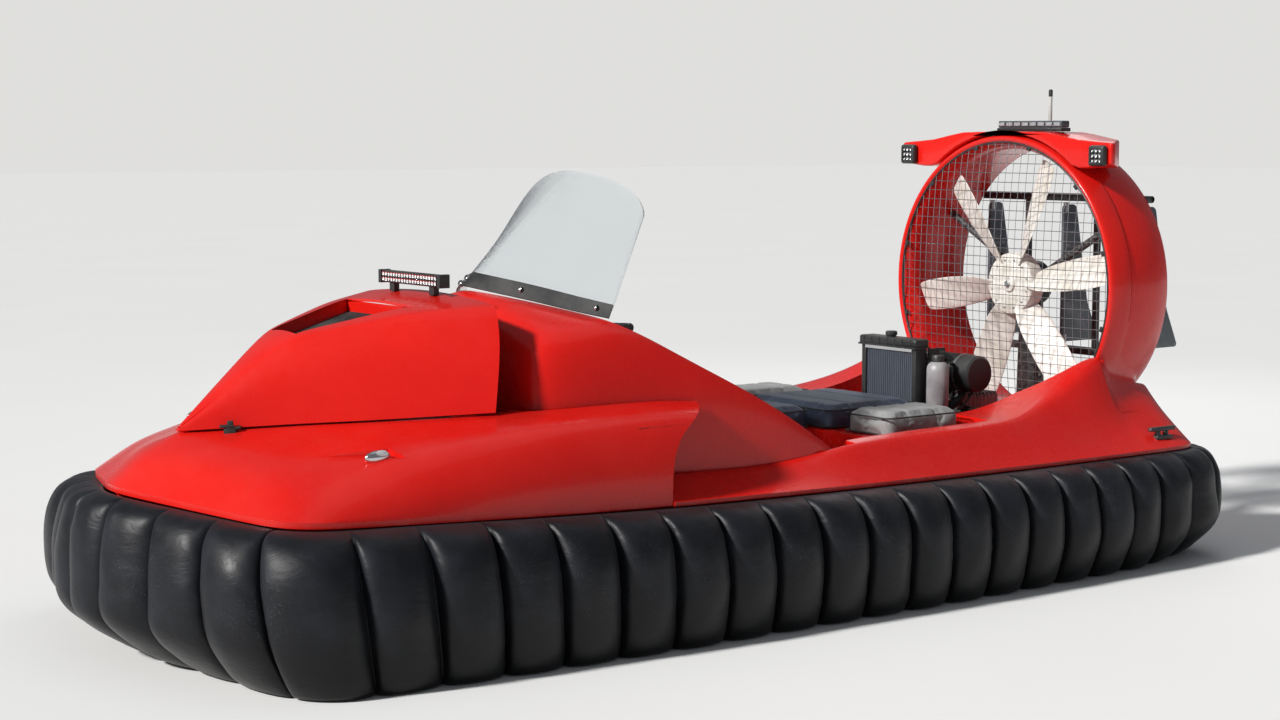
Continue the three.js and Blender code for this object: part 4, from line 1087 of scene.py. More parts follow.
def makeDuct():
    bm = bmesh.new()
    turnedShape(bm, ductShape["profile"], fanAxis, (0, 1, 0), ductShape["steps"])
    bmesh.ops.recalc_face_normals(bm, faces=bm.faces)
    duct = sharpen(newObject("ductRing", bm, gelcoat), 28)
    carry(duct, "root", "hull_gelcoat", "duct")


makeDuct()

footShape = {"voxel": 0.011, "smooth": 80, "box": ((0.40, 0.80), (1.870, 2.300), (0.560, 0.980))}


def makeDuctFoot():
    # a soft root where the barrel runs down into the deck: both shapes are taken as one and smoothed,
    # which fills the hollow corner between them; what lies round the corner is kept, as an open patch
    bm = bmesh.new()
    graph = bpy.context.evaluated_depsgraph_get()
    for name in ("deckShell", "ductRing"):
        whole = bpy.data.objects[name].evaluated_get(graph)
        mesh = whole.to_mesh()
        bm.from_mesh(mesh)
        whole.to_mesh_clear()
    foot = newObject("ductFoot", bm, gelcoat)
    blend = foot.modifiers.new("blend", "REMESH")
    blend.mode, blend.voxel_size, blend.use_smooth_shade = "VOXEL", footShape["voxel"], True
    applyModifiers(foot)
    (x0, x1), (y0, y1), (z0, z1) = footShape["box"]
    low, high = place(x0, y0, z0), place(x1, y1, z1)
    bm = bmesh.new()
    bm.from_mesh(foot.data)
    gone = [v for v in bm.verts if not (low.x < abs(v.co.x) < high.x and low.y < v.co.y < high.y
                                        and low.z < v.co.z < high.z)]
    bmesh.ops.delete(bm, geom=gone, context="VERTS")
    for _ in range(footShape["smooth"]):
        bmesh.ops.smooth_vert(bm, verts=bm.verts, factor=0.5, use_axis_x=True, use_axis_y=True,
                              use_axis_z=True)
    bm.to_mesh(foot.data)
    bm.free()
    carry(foot, "root", "hull_gelcoat")


makeDuctFoot()

roofShape = {
    "front": 1.900, "back": 2.150, "gap": 0.0042,
    "crown": [(0.610, 1.668), (0.520, 1.6745), (0.420, 1.682), (0.320, 1.700), (0.240, 1.7125),
              (0.120, 1.715), (0, 1.715)],
    "podLow": 1.565, "taper": ((0.610, 1.925), (0.430, 2.150)), "tip": 0.610, "barrel": 0.6402, "rim": 0.020,
    "aerialPad": ((-0.190, 2.060, 1.710), (-0.110, 2.130, 1.721)),
}


def makeRoof():
    # cross section from tip to tip, hugging the duct below, carried from front to back with rounded ends
    under = []
    for i in range(29):
        x = -roofShape["tip"] + 2 * roofShape["tip"] * i / 28
        hug = math.sqrt(roofShape["barrel"] ** 2 - x * x) + fanHeight + roofShape["gap"] - 0.0005
        under.append((x, max(hug, roofShape["podLow"] + 0.11 * max(abs(x) - 0.48, 0))))
    upper = mirroredPlan([(x, z) for x, z in reversed(roofShape["crown"])])
    upper = [(x, z) for x, z in sorted(upper, key=lambda p: -p[0])]
    bm = bmesh.new()
    pullOutline(bm, [place(x, roofShape["front"], z) for x, z in [*under, *upper]],
                (0, roofShape["back"] - roofShape["front"], 0))
    (x0, y0), (x1, y1) = roofShape["taper"]
    for side in (-1, 1):
        cut = bmesh.ops.bisect_plane(bm, geom=[*bm.verts, *bm.edges, *bm.faces], dist=1e-6,
                                     plane_co=place(side * x0, y0, 0),
                                     plane_no=(side * (y1 - y0), x0 - x1, 0), clear_outer=True)["geom_cut"]
        bmesh.ops.edgeloop_fill(bm, edges=[g for g in cut if isinstance(g, bmesh.types.BMEdge)])
    bmesh.ops.recalc_face_normals(bm, faces=bm.faces)
    rim = [e for e in bm.edges if e.is_manifold and e.calc_face_angle(0) > math.radians(28)
           and max(v.co.z for v in e.verts) > 1.56]
    bmesh.ops.bevel(bm, geom=rim, offset=roofShape["rim"], offset_type="OFFSET", segments=4, profile=0.5,
                    affect="EDGES", clamp_overlap=True, material=-1)
    roof = sharpen(newObject("roofFairing", bm, gelcoat), 40)
    pad = bevelledBoxes([roofShape["aerialPad"]], 0.003)
    addPart("aerialPad", pad, gelcoat, "root", "hull_gelcoat")
    carry(roof, "root", "hull_gelcoat", "duct_roof")


makeRoof()

lampShape = {"x": 0.552, "z": 1.617, "y": 1.8996, "half": 0.0425, "reach": 0.030}


def makeRoofLamps():
    for name, side in (("port", 1), ("starboard", -1)):
        x, y, z = side * lampShape["x"], lampShape["y"], lampShape["z"]
        half, reach = lampShape["half"], lampShape["reach"]
        body = bevelledBoxes([((x - half, y - reach, z - half), (x + half, y, z + half))], 0.012, segments=4)
        face = [f for f in body.faces if f.normal.y < -0.99]
        bmesh.ops.inset_region(body, faces=face, thickness=0.006, depth=0)
        bmesh.ops.inset_region(body, faces=face, thickness=0.002, depth=-0.008)
        addPart("roofLamp_" + name, body, mouldedBlack, "root", "black_plastic", "scene_light_" + name)
        cups, dots = bmesh.new(), bmesh.new()
        for row in (-1, 0, 1):
            for column in (-1, 0, 1):
                spot = place(x + column * half * 0.5, y - reach + 0.0078, z + row * half * 0.5)
                turnedShape(cups, [(0.0090, 0.0058), (0.0080, 0.0030), (0.0034, 0.0006), (0.0001, 0.0004)],
                            spot, (0, -1, 0), 16)
                turnedShape(dots, [(0.0034, 0.0006), (0.0030, 0.0034), (0.0001, 0.0042)],
                            spot, (0, -1, 0), 10)
        carry(newObject("roofLampCups_" + name, cups, dullAlloy), "root", "chrome_trim")
        carry(newObject("roofLampDots_" + name, dots, lampDot), "root", "lamp_lens")


makeRoofLamps()

beaconShape = {"left": -0.090, "right": 0.280, "front": 1.960, "back": 2.020, "base": 1.7154, "split": 1.731,
               "top": 1.7605, "blocks": 8, "blockHalf": 0.0175, "blockHeight": (1.7385, 1.7545)}


def makeBeacon():
    b = beaconShape
    base = bevelledBoxes([((b["left"], b["front"], b["base"]), (b["right"], b["back"], b["split"]))], 0.004)
    for x in (b["left"] + 0.06, b["right"] - 0.06):
        addBox(base, (x - 0.02, b["front"] - 0.006, b["base"]),
               (x + 0.02, b["back"] + 0.006, b["base"] + 0.006))
    addPart("warningBarBase", base, mouldedBlack, "root", "black_plastic", "warning_bar")
    body = bevelledBoxes([((b["left"] + 0.002, b["front"] + 0.005, b["split"] + 0.0005),
                           (b["right"] - 0.002, b["back"] - 0.005, b["top"]))], 0.006, segments=3)
    addPart("warningBarBody", body, slatePlastic, "root", "black_plastic")
    blocks, cells = bmesh.new(), bmesh.new()
    half, (foot, head) = b["blockHalf"], b["blockHeight"]
    for i in range(b["blocks"]):
        x = b["left"] + 0.026 + i * (b["right"] - b["left"] - 0.052) / (b["blocks"] - 1)
        for front, way in ((b["front"] + 0.0005, 1), (b["back"] - 0.0005, -1)):
            low, high = sorted((front, front + way * 0.0085))
            addBox(blocks, (x - half, low, foot), (x + half, high, head))
            for step in (-0.009, 0, 0.009):
                turnedShape(cells, [(0.0030, 0), (0.0026, 0.0014), (0.0001, 0.0019)],
                            place(x + step, front + way * 0.0058, 1.7465), (0, -way, 0), 8)
    bevelAll(blocks, 0.0016)
    addPart("warningBarBlocks", blocks, lampGlass, "root", "lamp_lens")
    carry(newObject("warningBarLamps", cells, lampDot), "root", "lamp_lens")
    mast = place(0.073, 2.115, 0)
    carry(turnedPiece("aerialRod", [
        (0.0001, 1.7155), (0.0089, 1.7155), (0.0089, 1.724), (0.0078, 1.728), (0.0078, 1.862),
        (0.0070, 1.868), (0.0001, 1.8685)],
        mast, (0, 0, 1), 20, milkyPlastic), "root", "milky_plastic", "antenna")
    carry(turnedPiece("aerialTip", [
        (0.0001, 1.8640), (0.0085, 1.8640), (0.0088, 1.888), (0.0070, 1.8935), (0.0001, 1.894)],
        mast, (0, 0, 1), 16, softRubber), "root", "dusty_rubber")


makeBeacon()

fanShape = {
    "plane": 1.980, "count": 6, "firstAngle": 21, "bolts": 12, "boltCircle": 0.104, "boltSeat": -0.0207,
    "blade": [   # radius, chord, pitch in degrees, thickness as a share of the chord
        (0.085, 0.074, -48, 0.30), (0.120, 0.096, -46, 0.20), (0.150, 0.120, -43, 0.14),
        (0.200, 0.140, -37, 0.115), (0.290, 0.152, -31, 0.10), (0.380, 0.158, -26, 0.09),
        (0.460, 0.153, -23, 0.085), (0.530, 0.140, -20.5, 0.08), (0.5545, 0.122, -20, 0.06)],
}


def bladeRing(radius, chord, pitch, thick):
    # a cambered section, from the leading edge over the back and home under the face
    ring = []
    for i in range(16):
        turn = math.tau * i / 16
        along = 0.5 - 0.5 * math.cos(turn)
        height = thick * 0.62 * math.sin(turn) * (1 - 0.45 * along) + 0.035 * math.sin(math.pi * along)
        across, up = (along - 0.5) * chord, height * chord
        c, s = math.cos(math.radians(pitch)), math.sin(math.radians(pitch))
        ring.append((across * c - up * s, fanShape["plane"] + across * s + up * c, radius))
    return ring


def makeFan():
    blades = bmesh.new()
    for i in range(fanShape["count"]):
        one = capEnds(gridSheet([bladeRing(*row) for row in fanShape["blade"]], wrapped=True))
        turn = Matrix.Rotation(math.radians(fanShape["firstAngle"] + i * 360 / fanShape["count"]), 4, "Y")
        spot, lift = Matrix.Translation(place(0, 0, 0)), Matrix.Translation(Vector((0, 0, fanHeight)))
        bmesh.ops.transform(one, matrix=lift @ spot @ turn @ spot.inverted(), verts=one.verts)
        pourInto(blades, one)
    paddle = newObject("fanBlades", blades, creamPaint)
    subdivide(paddle, 2)
    carry(paddle, "fan", "fan_paint", "fan_rotor")
    plane = place(0, fanShape["plane"], fanHeight)
    carry(turnedPiece("fanHub", [
        (0.0001, -0.0310), (0.030, -0.0310), (0.034, -0.0285), (0.036, -0.0215), (0.119, -0.0205),
        (0.1280, -0.0165), (0.1320, -0.0090), (0.132, 0.050), (0.126, 0.0585), (0.0001, 0.0598)],
        plane, (0, 1, 0), 72, creamPaint, angle=30), "fan", "fan_paint")
    bolts, reach = [], fanShape["boltCircle"]
    for i in range(fanShape["bolts"]):
        turn = math.tau * (i + 0.5) / fanShape["bolts"]
        bolts.append((plane + Vector((reach * math.cos(turn), fanShape["boltSeat"], reach * math.sin(turn))),
                      (0, -1, 0)))
    carry(boltHeads("fanBolts", bolts, 0.0052, 0.0050, dullAlloy), "fan", "dark_steel")
    carry(turnedPiece("fanHubCap", [
        (0.0001, 0.0305), (0.0135, 0.0305), (0.0150, 0.0318), (0.0150, 0.0370), (0.0120, 0.0384),
        (0.0001, 0.0386)], plane, (0, -1, 0), 6, dullAlloy), "fan", "dark_steel")


makeFan()

guardShape = {"radius": 0.6045, "pitch": 0.0395, "wire": 0.0015, "dome": 0.046, "y": 1.9035}


def makeGuard():
    g = guardShape
    dome = lambda x, z: g["y"] - g["dome"] * (1 - (x * x + z * z) / g["radius"] ** 2)
    lines = []
    reach = int(g["radius"] / g["pitch"])
    for way in (0, 1):
        for i in range(-reach, reach + 1):
            fixed = i * g["pitch"]
            half = math.sqrt(max(g["radius"] ** 2 - fixed * fixed, 0)) - 0.002
            count = max(int(half / 0.04), 2)
            line = []
            for k in range(-count, count + 1):
                free = half * k / count
                x, z = (fixed, free) if way == 0 else (free, fixed)
                line.append(place(x, dome(x, z) + (g["wire"] * 1.6 if way else 0), fanHeight + z))
            lines.append(line)
    wires = addWires("guardWires", lines, g["wire"], wireSteel, sides=4)
    carry(wires, "root", "dark_steel", "fan_guard")
    rim = [place(g["radius"] * math.cos(math.tau * i / 96), g["y"],
                 fanHeight + g["radius"] * math.sin(math.tau * i / 96)) for i in range(96)]
    carry(addWires("guardRim", [rim], 0.0045, blackSteel, sides=8, closed=True), "root", "dark_steel")
    clips = bmesh.new()
    for i in range(12):
        turn = math.tau * (i + 0.5) / 12
        made = addBox(clips, (0.588, g["y"] - 0.006, fanHeight - 0.011),
                      (0.6035, g["y"] + 0.004, fanHeight + 0.011))
        bmesh.ops.rotate(clips, cent=fanAxis, matrix=Matrix.Rotation(turn, 3, "Y"), verts=made)
    bevelAll(clips, 0.002)
    addPart("guardClips", clips, mouldedBlack, "root", "black_plastic")


makeGuard()

pylonShape = {"bearingY": 2.056, "post": ((-0.058, 2.066, -0.568), (0.058, 2.128, -0.060)), "neck": 0.72,
              "collars": (-0.40, -0.26, -0.12), "armY": 2.100, "armFrom": (0.07, 0.042),
              "armTo": (0.4934, 0.2849), "arm": 0.0155}


def makePylon():
    p = pylonShape
    centre = place(0, p["bearingY"], fanHeight)
    carry(turnedPiece("fanBearing", [
        (0.0001, 0), (0.052, 0), (0.056, 0.004), (0.056, 0.012), (0.088, 0.014), (0.0955, 0.020),
        (0.0955, 0.070), (0.088, 0.078), (0.060, 0.080), (0.056, 0.0895), (0.0001, 0.0898)],
        centre, (0, 1, 0), 56, blackSteel, angle=30), "root", "dark_steel", "fan_pylon")
    bm = bmesh.new()
    post = addBox(bm, *[(x, y, fanHeight + z) for x, y, z in p["post"]])
    for vert in post:
        if vert.co.z > fanHeight - 0.2:
            vert.co.x *= p["neck"]
    for z in (fanHeight + drop for drop in p["collars"]):
        addBox(bm, (-0.066, 2.088, z - 0.010), (0.066, 2.106, z + 0.010))
    bevelAll(bm, 0.006)
    addPart("fanPost", bm, blackSteel, "root", "dark_steel")
    arms = [[place(side * x, p["armY"], fanHeight + z) for x, z in (p["armFrom"], p["armTo"])]
            for side in (-1, 1)]
    carry(addWires("fanArms", arms, p["arm"], blackSteel, sides=16), "root", "dark_steel")


makePylon()
print("fan and guard fitted")

rudderShape = {
    "places": (("port", 0.445), ("centre", 0.0), ("starboard", -0.445)), "y": 2.302, "low": 0.800,
    "high": 1.400,
    "barBack": 2.2704, "barDepth": 0.048, "barHalf": 0.472, "postX": 0.200, "halfSheet": 0.0068,
    "nuts": (-0.465, -0.2, 0.2, 0.465),
}


def makeRudders():
    r = rudderShape
    bm = bmesh.new()
    for low, high in ((r["low"] - 0.046, r["low"] - 0.016), (r["high"] + 0.016, r["high"] + 0.046)):
        addBox(bm, (-r["barHalf"], r["barBack"], low), (r["barHalf"], r["barBack"] + r["barDepth"], high))
    for x in (-r["postX"], r["postX"]):
        addBox(bm, (x - 0.012, r["barBack"], r["low"] - 0.046),
               (x + 0.012, r["barBack"] + 0.024, r["high"] + 0.046))
    bevelAll(bm, 0.003)
    addPart("rudderBars", bm, blackSteel, "root", "dark_steel", "rudder_frame")
    for name, x in r["places"]:
        leaf = bmesh.new()
        outline = [(r["y"] - 0.020, r["low"]), (r["y"] + 0.218, r["low"]), (r["y"] + 0.140, r["low"] + 0.170),
                   (r["y"] + 0.060, r["high"]), (r["y"] - 0.020, r["high"])]
        pullOutline(leaf, [place(x - r["halfSheet"], y, z) for y, z in outline], (2 * r["halfSheet"], 0, 0))
        uprights = [e for e in leaf.edges if abs(e.verts[0].co.x - e.verts[1].co.x) > 0.005]
        bmesh.ops.bevel(leaf, geom=uprights, offset=0.022, offset_type="OFFSET", segments=5, profile=0.5,
                        affect="EDGES", material=-1)
        bmesh.ops.recalc_face_normals(leaf, faces=leaf.faces)
        for side in (-1, 1):   # pressed stiffening ribs
            for share in (0.3, 0.7):
                z = r["low"] + share * (r["high"] - r["low"])
                deep = 0.140 - 0.0900 * share
                addBox(leaf, (x + side * r["halfSheet"] - 0.002, r["y"] + 0.004, z - 0.009),
                       (x + side * r["halfSheet"] + 0.002, r["y"] + deep, z + 0.009))
        bevelAll(leaf, 0.0018)
        addPart("rudderLeaf_" + name, leaf, rudderPaint, "rudder_" + name, "rudder_paint", "rudder_" + name)
        pins = [[place(x, r["y"], low), place(x, r["y"], high)]
                for low, high in ((r["low"] - 0.0095, r["low"] + 0.032), (r["high"] - 0.032, r["high"] + 0.0095))]
        carry(addWires("rudderPins_" + name, pins, 0.0112, dullAlloy, sides=16), "rudder_" + name,
              "dark_steel")
    nuts = []
    for x in r["nuts"]:
        for z in (r["low"] - 0.031, r["high"] + 0.031):
            nuts.append((place(x, r["barBack"] + r["barDepth"], z), (0, 1, 0)))
    carry(boltHeads("rudderBolts", nuts, 0.008, 0.006, dullAlloy, washer=1), "root", "dark_steel")


makeRudders()
print("rudders hung")

retouch(("engine_bed",), blackSteel)

radiatorShape = {
    "core": ((-0.140, 1.270, 0.500), (0.140, 1.314, 0.835)),
    "foot": ((-0.160, 1.262, 0.4708), (0.160, 1.322, 0.502)),
    "shield": ((0.1625, 1.330, 0.4712), (0.1700, 1.420, 0.836)),
    "tank": ((-0.170, 1.252, 0.838), (0.170, 1.332, 0.875)),
    "seat": ((-0.172, 1.2500, 0.836), (0.172, 1.334, 0.843)),
    "strip": ((-0.139, 1.2600, 0.8225), (0.139, 1.2680, 0.8350)),
    "cap": (-0.015, 1.292, 0),
}


def makeRadiator():
    r = radiatorShape
    core = bmesh.new()
    addBox(core, *r["core"])
    carry(newObject("radiatorCore", core, radiatorCore, smooth=False), "root", "cast_metal", "radiator")
    frameBars = bmesh.new()
    for side in (-1, 1):
        addBox(frameBars, (side * 0.150 - 0.012, 1.262, 0.4708), (side * 0.150 + 0.012, 1.322, 0.845))
    addBox(frameBars, *r["foot"])
    bevelAll(frameBars, 0.003)
    addBox(frameBars, *r["shield"])
    addPart("radiatorFrame", frameBars, mouldedBlack, "root", "black_plastic")
    tank = bevelledBoxes([r["tank"]], 0.010, segments=3)
    for i in range(7):
        x = -0.138 + i * 0.046
        addBox(tank, (x - 0.002, 1.2505, 0.840), (x + 0.002, 1.3335, 0.872))
    addBox(tank, *r["seat"])
    addPart("radiatorTank", tank, mouldedBlack, "root", "black_plastic")
    strip = bmesh.new()
    addBox(strip, *r["strip"])
    addPart("radiatorStrip", strip, brightSteel, "root", "chrome_trim")
    cap = place(*r["cap"])
    carry(turnedPiece("radiatorCap", [
        (0.0001, 0.868), (0.019, 0.868), (0.019, 0.879), (0.024, 0.881), (0.0245, 0.893), (0.021, 0.898),
        (0.0001, 0.8995)], cap, (0, 0, 1), 32, softRubber), "root", "dusty_rubber")


makeRadiator()

filterShape = {"spot": (-0.060, 1.490, 0.732), "pleats": 15, "firstPleat": 0.020, "pleatPitch": 0.016,
               "foot": ((0.040, 1.450, 0.6404), (0.120, 1.530, 0.690))}


def makeBottleAndFilter():
    spot = place(0.226, 1.325, 0)
    carry(turnedPiece("coolantBottle", [
        (0.0001, 0.4708), (0.040, 0.4708), (0.0455, 0.478), (0.0455, 0.600), (0.0435, 0.604), (0.0435, 0.612),
        (0.0455, 0.616), (0.0455, 0.752), (0.043, 0.770), (0.032, 0.784), (0.023, 0.789), (0.0001, 0.789)],
        spot, (0, 0, 1), 48, bottlePlastic), "root", "milky_plastic", "expansion_bottle")
    carry(turnedPiece("coolantCap", [
        (0.0001, 0.787), (0.0255, 0.787), (0.0258, 0.808), (0.023, 0.8140), (0.0001, 0.815)],
        spot, (0, 0, 1), 32, mouldedBlack), "root", "black_plastic")
    can = place(*filterShape["spot"])
    pleats = []
    for i in range(filterShape["pleats"]):
        x = filterShape["firstPleat"] + i * filterShape["pleatPitch"]
        pleats += [(0.0765, x), (0.0765, x + 0.006), (0.0735, x + 0.008), (0.0735, x + 0.014)]
    carry(turnedPiece("airFilter", [
        (0.0001, 0.0005), (0.060, 0.0005), (0.072, 0.006), (0.0765, 0.014), *pleats, (0.0778, 0.262),
        (0.0778, 0.300), (0.0740, 0.318), (0.0740, 0.352), (0.066, 0.3595), (0.0001, 0.3598)],
        can, (1, 0, 0), 56, mouldedBlack), "root", "black_plastic", "air_filter")
    carry(turnedPiece("airFilterBand", [(0.0782, 0.270), (0.0788, 0.2702), (0.0788, 0.2818), (0.0782, 0.282)],
                      can, (1, 0, 0), 56, dullAlloy), "root", "chrome_trim")
    foot = bevelledBoxes([filterShape["foot"]], 0.006)
    addPart("airFilterFoot", foot, mouldedBlack, "root", "black_plastic")


makeBottleAndFilter()

engineShape = {
    "crankcase": ((-0.175, 1.455, 0.4708), (0.160, 1.730, 0.600)),
    "starboardBank": ((-0.198, 1.470, 0.540), (-0.060, 1.715, 0.632)),
    "portBank": ((0.055, 1.470, 0.540), (0.188, 1.715, 0.632)), "ribs": 11, "firstRib": 1.486,
    "ribPitch": 0.021,
    "cover": ((-0.048, 1.480, 0.590), (0.042, 1.700, 0.638)), "pulley": (0.110, 1.4545, 0.560), "pipe": 0.013,
    "boxes": (((0.192, 1.478, 0.500), (0.250, 1.560, 0.585)), ((0.198, 1.600, 0.480), (0.246, 1.690, 0.560))),
}


def makeEngine():
    e = engineShape
    block = bevelledBoxes([e["crankcase"], e["starboardBank"], e["portBank"]], 0.010, segments=3)
    for side in (-1, 1):   # cooling ribs on the banks
        for i in range(e["ribs"]):
            y = e["firstRib"] + i * e["ribPitch"]
            a, b = sorted((side * 0.052, side * 0.189))
            addBox(block, (a, y - 0.003, 0.552), (b, y + 0.003, 0.639))
    addPart("engineCastings", block, castAlloy, "root", "cast_metal", "engine_block")
    addPart("engineCover", bevelledBoxes([e["cover"]], 0.012, segments=3), orangePaint, "root", "hull_gelcoat")
    pulley = place(*e["pulley"])
    carry(turnedPiece("enginePulley", [
        (0.0001, 0.0005), (0.052, 0.0005), (0.055, 0.003), (0.048, 0.007), (0.055, 0.011), (0.052, 0.0140),
        (0.0001, 0.0142)], pulley, (0, -1, 0), 40, blackSteel), "root", "dark_steel")
    pipes = [throughPoints([place(side * 0.135, 1.50 + 0.09 * i, 0.632),
                            place(side * 0.150, 1.50 + 0.09 * i, 0.668),
                            place(side * 0.120, 1.52 + 0.09 * i, 0.684),
                            place(side * 0.070, 1.56 + 0.08 * i, 0.650),
                            place(side * 0.046, 1.58 + 0.07 * i, 0.628)], 16)
             for side in (-1, 1) for i in (0, 1)]
    pipes = [line for line in pipes if all((p.y - shiftY > 1.575) or abs(p.z - 0.732) > 0.082 for p in line)]
    carry(addWires("inletPipes", pipes, e["pipe"], blackSteel, sides=12), "root", "dark_steel")
    bolts = []
    for side in (-1, 1):
        for i in range(5):
            bolts.append((place(side * 0.1755 if side < 0 else 0.1605, 1.49 + i * 0.052, 0.520),
                          (side, 0, 0)))
    carry(boltHeads("engineBolts", bolts, 0.006, 0.006, dullAlloy), "root", "dark_steel")


makeEngine()

hoseLines = {   # radius, then the points that each hose runs through
    "upper": (0.0150, [(0.130, 1.335, 0.800), (0.165, 1.400, 0.812), (0.185, 1.450, 0.772),
                       (0.190, 1.480, 0.690), (0.170, 1.520, 0.640)]),
    "lower": (0.0165, [(0.120, 1.335, 0.560), (0.190, 1.390, 0.575), (0.225, 1.440, 0.620),
                       (0.205, 1.500, 0.650), (0.150, 1.560, 0.645)]),
    "bottle": (0.0065, [(0.226, 1.372, 0.760), (0.222, 1.410, 0.775), (0.205, 1.440, 0.735),
                        (0.190, 1.452, 0.660), (0.160, 1.450, 0.610)]),
    "fuel": (0.0050, [(0.235, 1.372, 0.560), (0.262, 1.430, 0.600), (0.250, 1.510, 0.668),
                      (0.205, 1.570, 0.680), (0.150, 1.640, 0.650)]),
    "loom": (0.0080, [(-0.10, 1.400, 0.640), (0.040, 1.405, 0.690), (0.120, 1.412, 0.672),
                      (0.200, 1.470, 0.610), (0.235, 1.560, 0.560), (0.215, 1.660, 0.540)]),
}


def makeHoses():
    clamps = bmesh.new()
    for name, (radius, points) in hoseLines.items():
        line = throughPoints([place(*p) for p in points], 36)
        carry(addWires("hose_" + name, [line], radius, softRubber, sides=14), "root", "dusty_rubber")
        for end in (2, -3):
            turnedShape(clamps, [(radius + 0.0002, -0.005), (radius + 0.0016, -0.005),
                                 (radius + 0.0016, 0.005), (radius + 0.0002, 0.005)],
                        line[end], line[end + 1] - line[end], 18)
    carry(newObject("hoseClamps", clamps, dullAlloy), "root", "chrome_trim")
    addPart("engineBoxes", bevelledBoxes(engineShape["boxes"], 0.006), mouldedBlack, "root", "black_plastic")


makeHoses()
retouch(("lift_engine",), castAlloy)
print("engine bay filled")

dashShape = {"top": 0.905, "base": 0.700, "dialY": -0.410, "dials": (   # x, radius, how far the needle is turned
                 (-0.210, 0.042, 0.6), (-0.105, 0.034, -0.5), (0.105, 0.034, 0.2), (0.210, 0.042, -0.9)),
             "plan": [(0, -0.716), (0.451, -0.468), (0.560, -0.318), (0.560, -0.300), (0.180, -0.290),
                      (0, -0.290)]}


def makeDash():
    block = planCutter(mirroredPlan(dashShape["plan"]), dashShape["base"], dashShape["top"])
    block.name = block.data.name = "dashMoulding"
    block.data.materials.append(mouldedBlack)
    softenEdges(block, 0.010, segments=3)
    sharpen(block)
    carry(block, "root", "black_plastic", "dash_panel")
    dials = bmesh.new()
    faces = bmesh.new()
    for x, radius, _ in dashShape["dials"]:
        centre = place(x, dashShape["dialY"], dashShape["top"])
        way = Vector((0, 0.35, 1)).normalized()
        turnedShape(dials, [(radius * 1.05, -0.010), (radius * 1.05, 0.012), (radius * 0.98, 0.015),
                            (radius * 0.90, 0.012), (radius * 0.88, 0.008), (0.0001, 0.008)], centre, way, 32)
        turnedShape(faces, [(radius * 0.86, 0.0085), (radius * 0.86, 0.0095), (0.0001, 0.0095)], centre, way,
                    32)
    for bm in (dials, faces):
        bmesh.ops.recalc_face_normals(bm, faces=bm.faces)
    addPart("dialBezels", dials, mouldedBlack, "root", "black_plastic", angle=30)
    carry(newObject("dialGlass", faces, lampGlass), "root", "lamp_lens")
    needles = bmesh.new()
    for x, _, turn in dashShape["dials"]:
        made = addBox(needles, (x - 0.0015, -0.412, dashShape["top"] + 0.0105),
                      (x + 0.0015, -0.386, dashShape["top"] + 0.0125))
        bmesh.ops.rotate(needles, cent=place(x, dashShape["dialY"], dashShape["top"] + 0.01),
                         matrix=Matrix.Rotation(turn, 3, "Z"), verts=made)
    bmesh.ops.rotate(needles, cent=place(0, dashShape["dialY"], dashShape["top"]),
                     matrix=Matrix.Rotation(-math.atan(0.35), 3, "X"), verts=needles.verts)
    carry(newObject("dialNeedles", needles, milkyPlastic, smooth=False), "root", "milky_plastic")
    switches = bmesh.new()
    for i in range(6):
        x = -0.06 + i * 0.024
        made = addBox(switches, (x - 0.008, -0.335, dashShape["top"] - 0.002),
                      (x + 0.008, -0.310, dashShape["top"] + 0.007))
        bmesh.ops.rotate(switches, cent=place(x, -0.322, dashShape["top"]),
                         matrix=Matrix.Rotation(0.2 * (-1) ** i, 3, "X"), verts=made)
    bevelAll(switches, 0.002)
    addPart("dashSwitches", switches, softRubber, "root", "dusty_rubber")


makeDash()

steeringShape = {"foot": (0, -0.368, 0.917), "tilt": 20, "knee": (0.120, 0, 0.010),
                 "end": (0.330, 0.046, 0.018)}


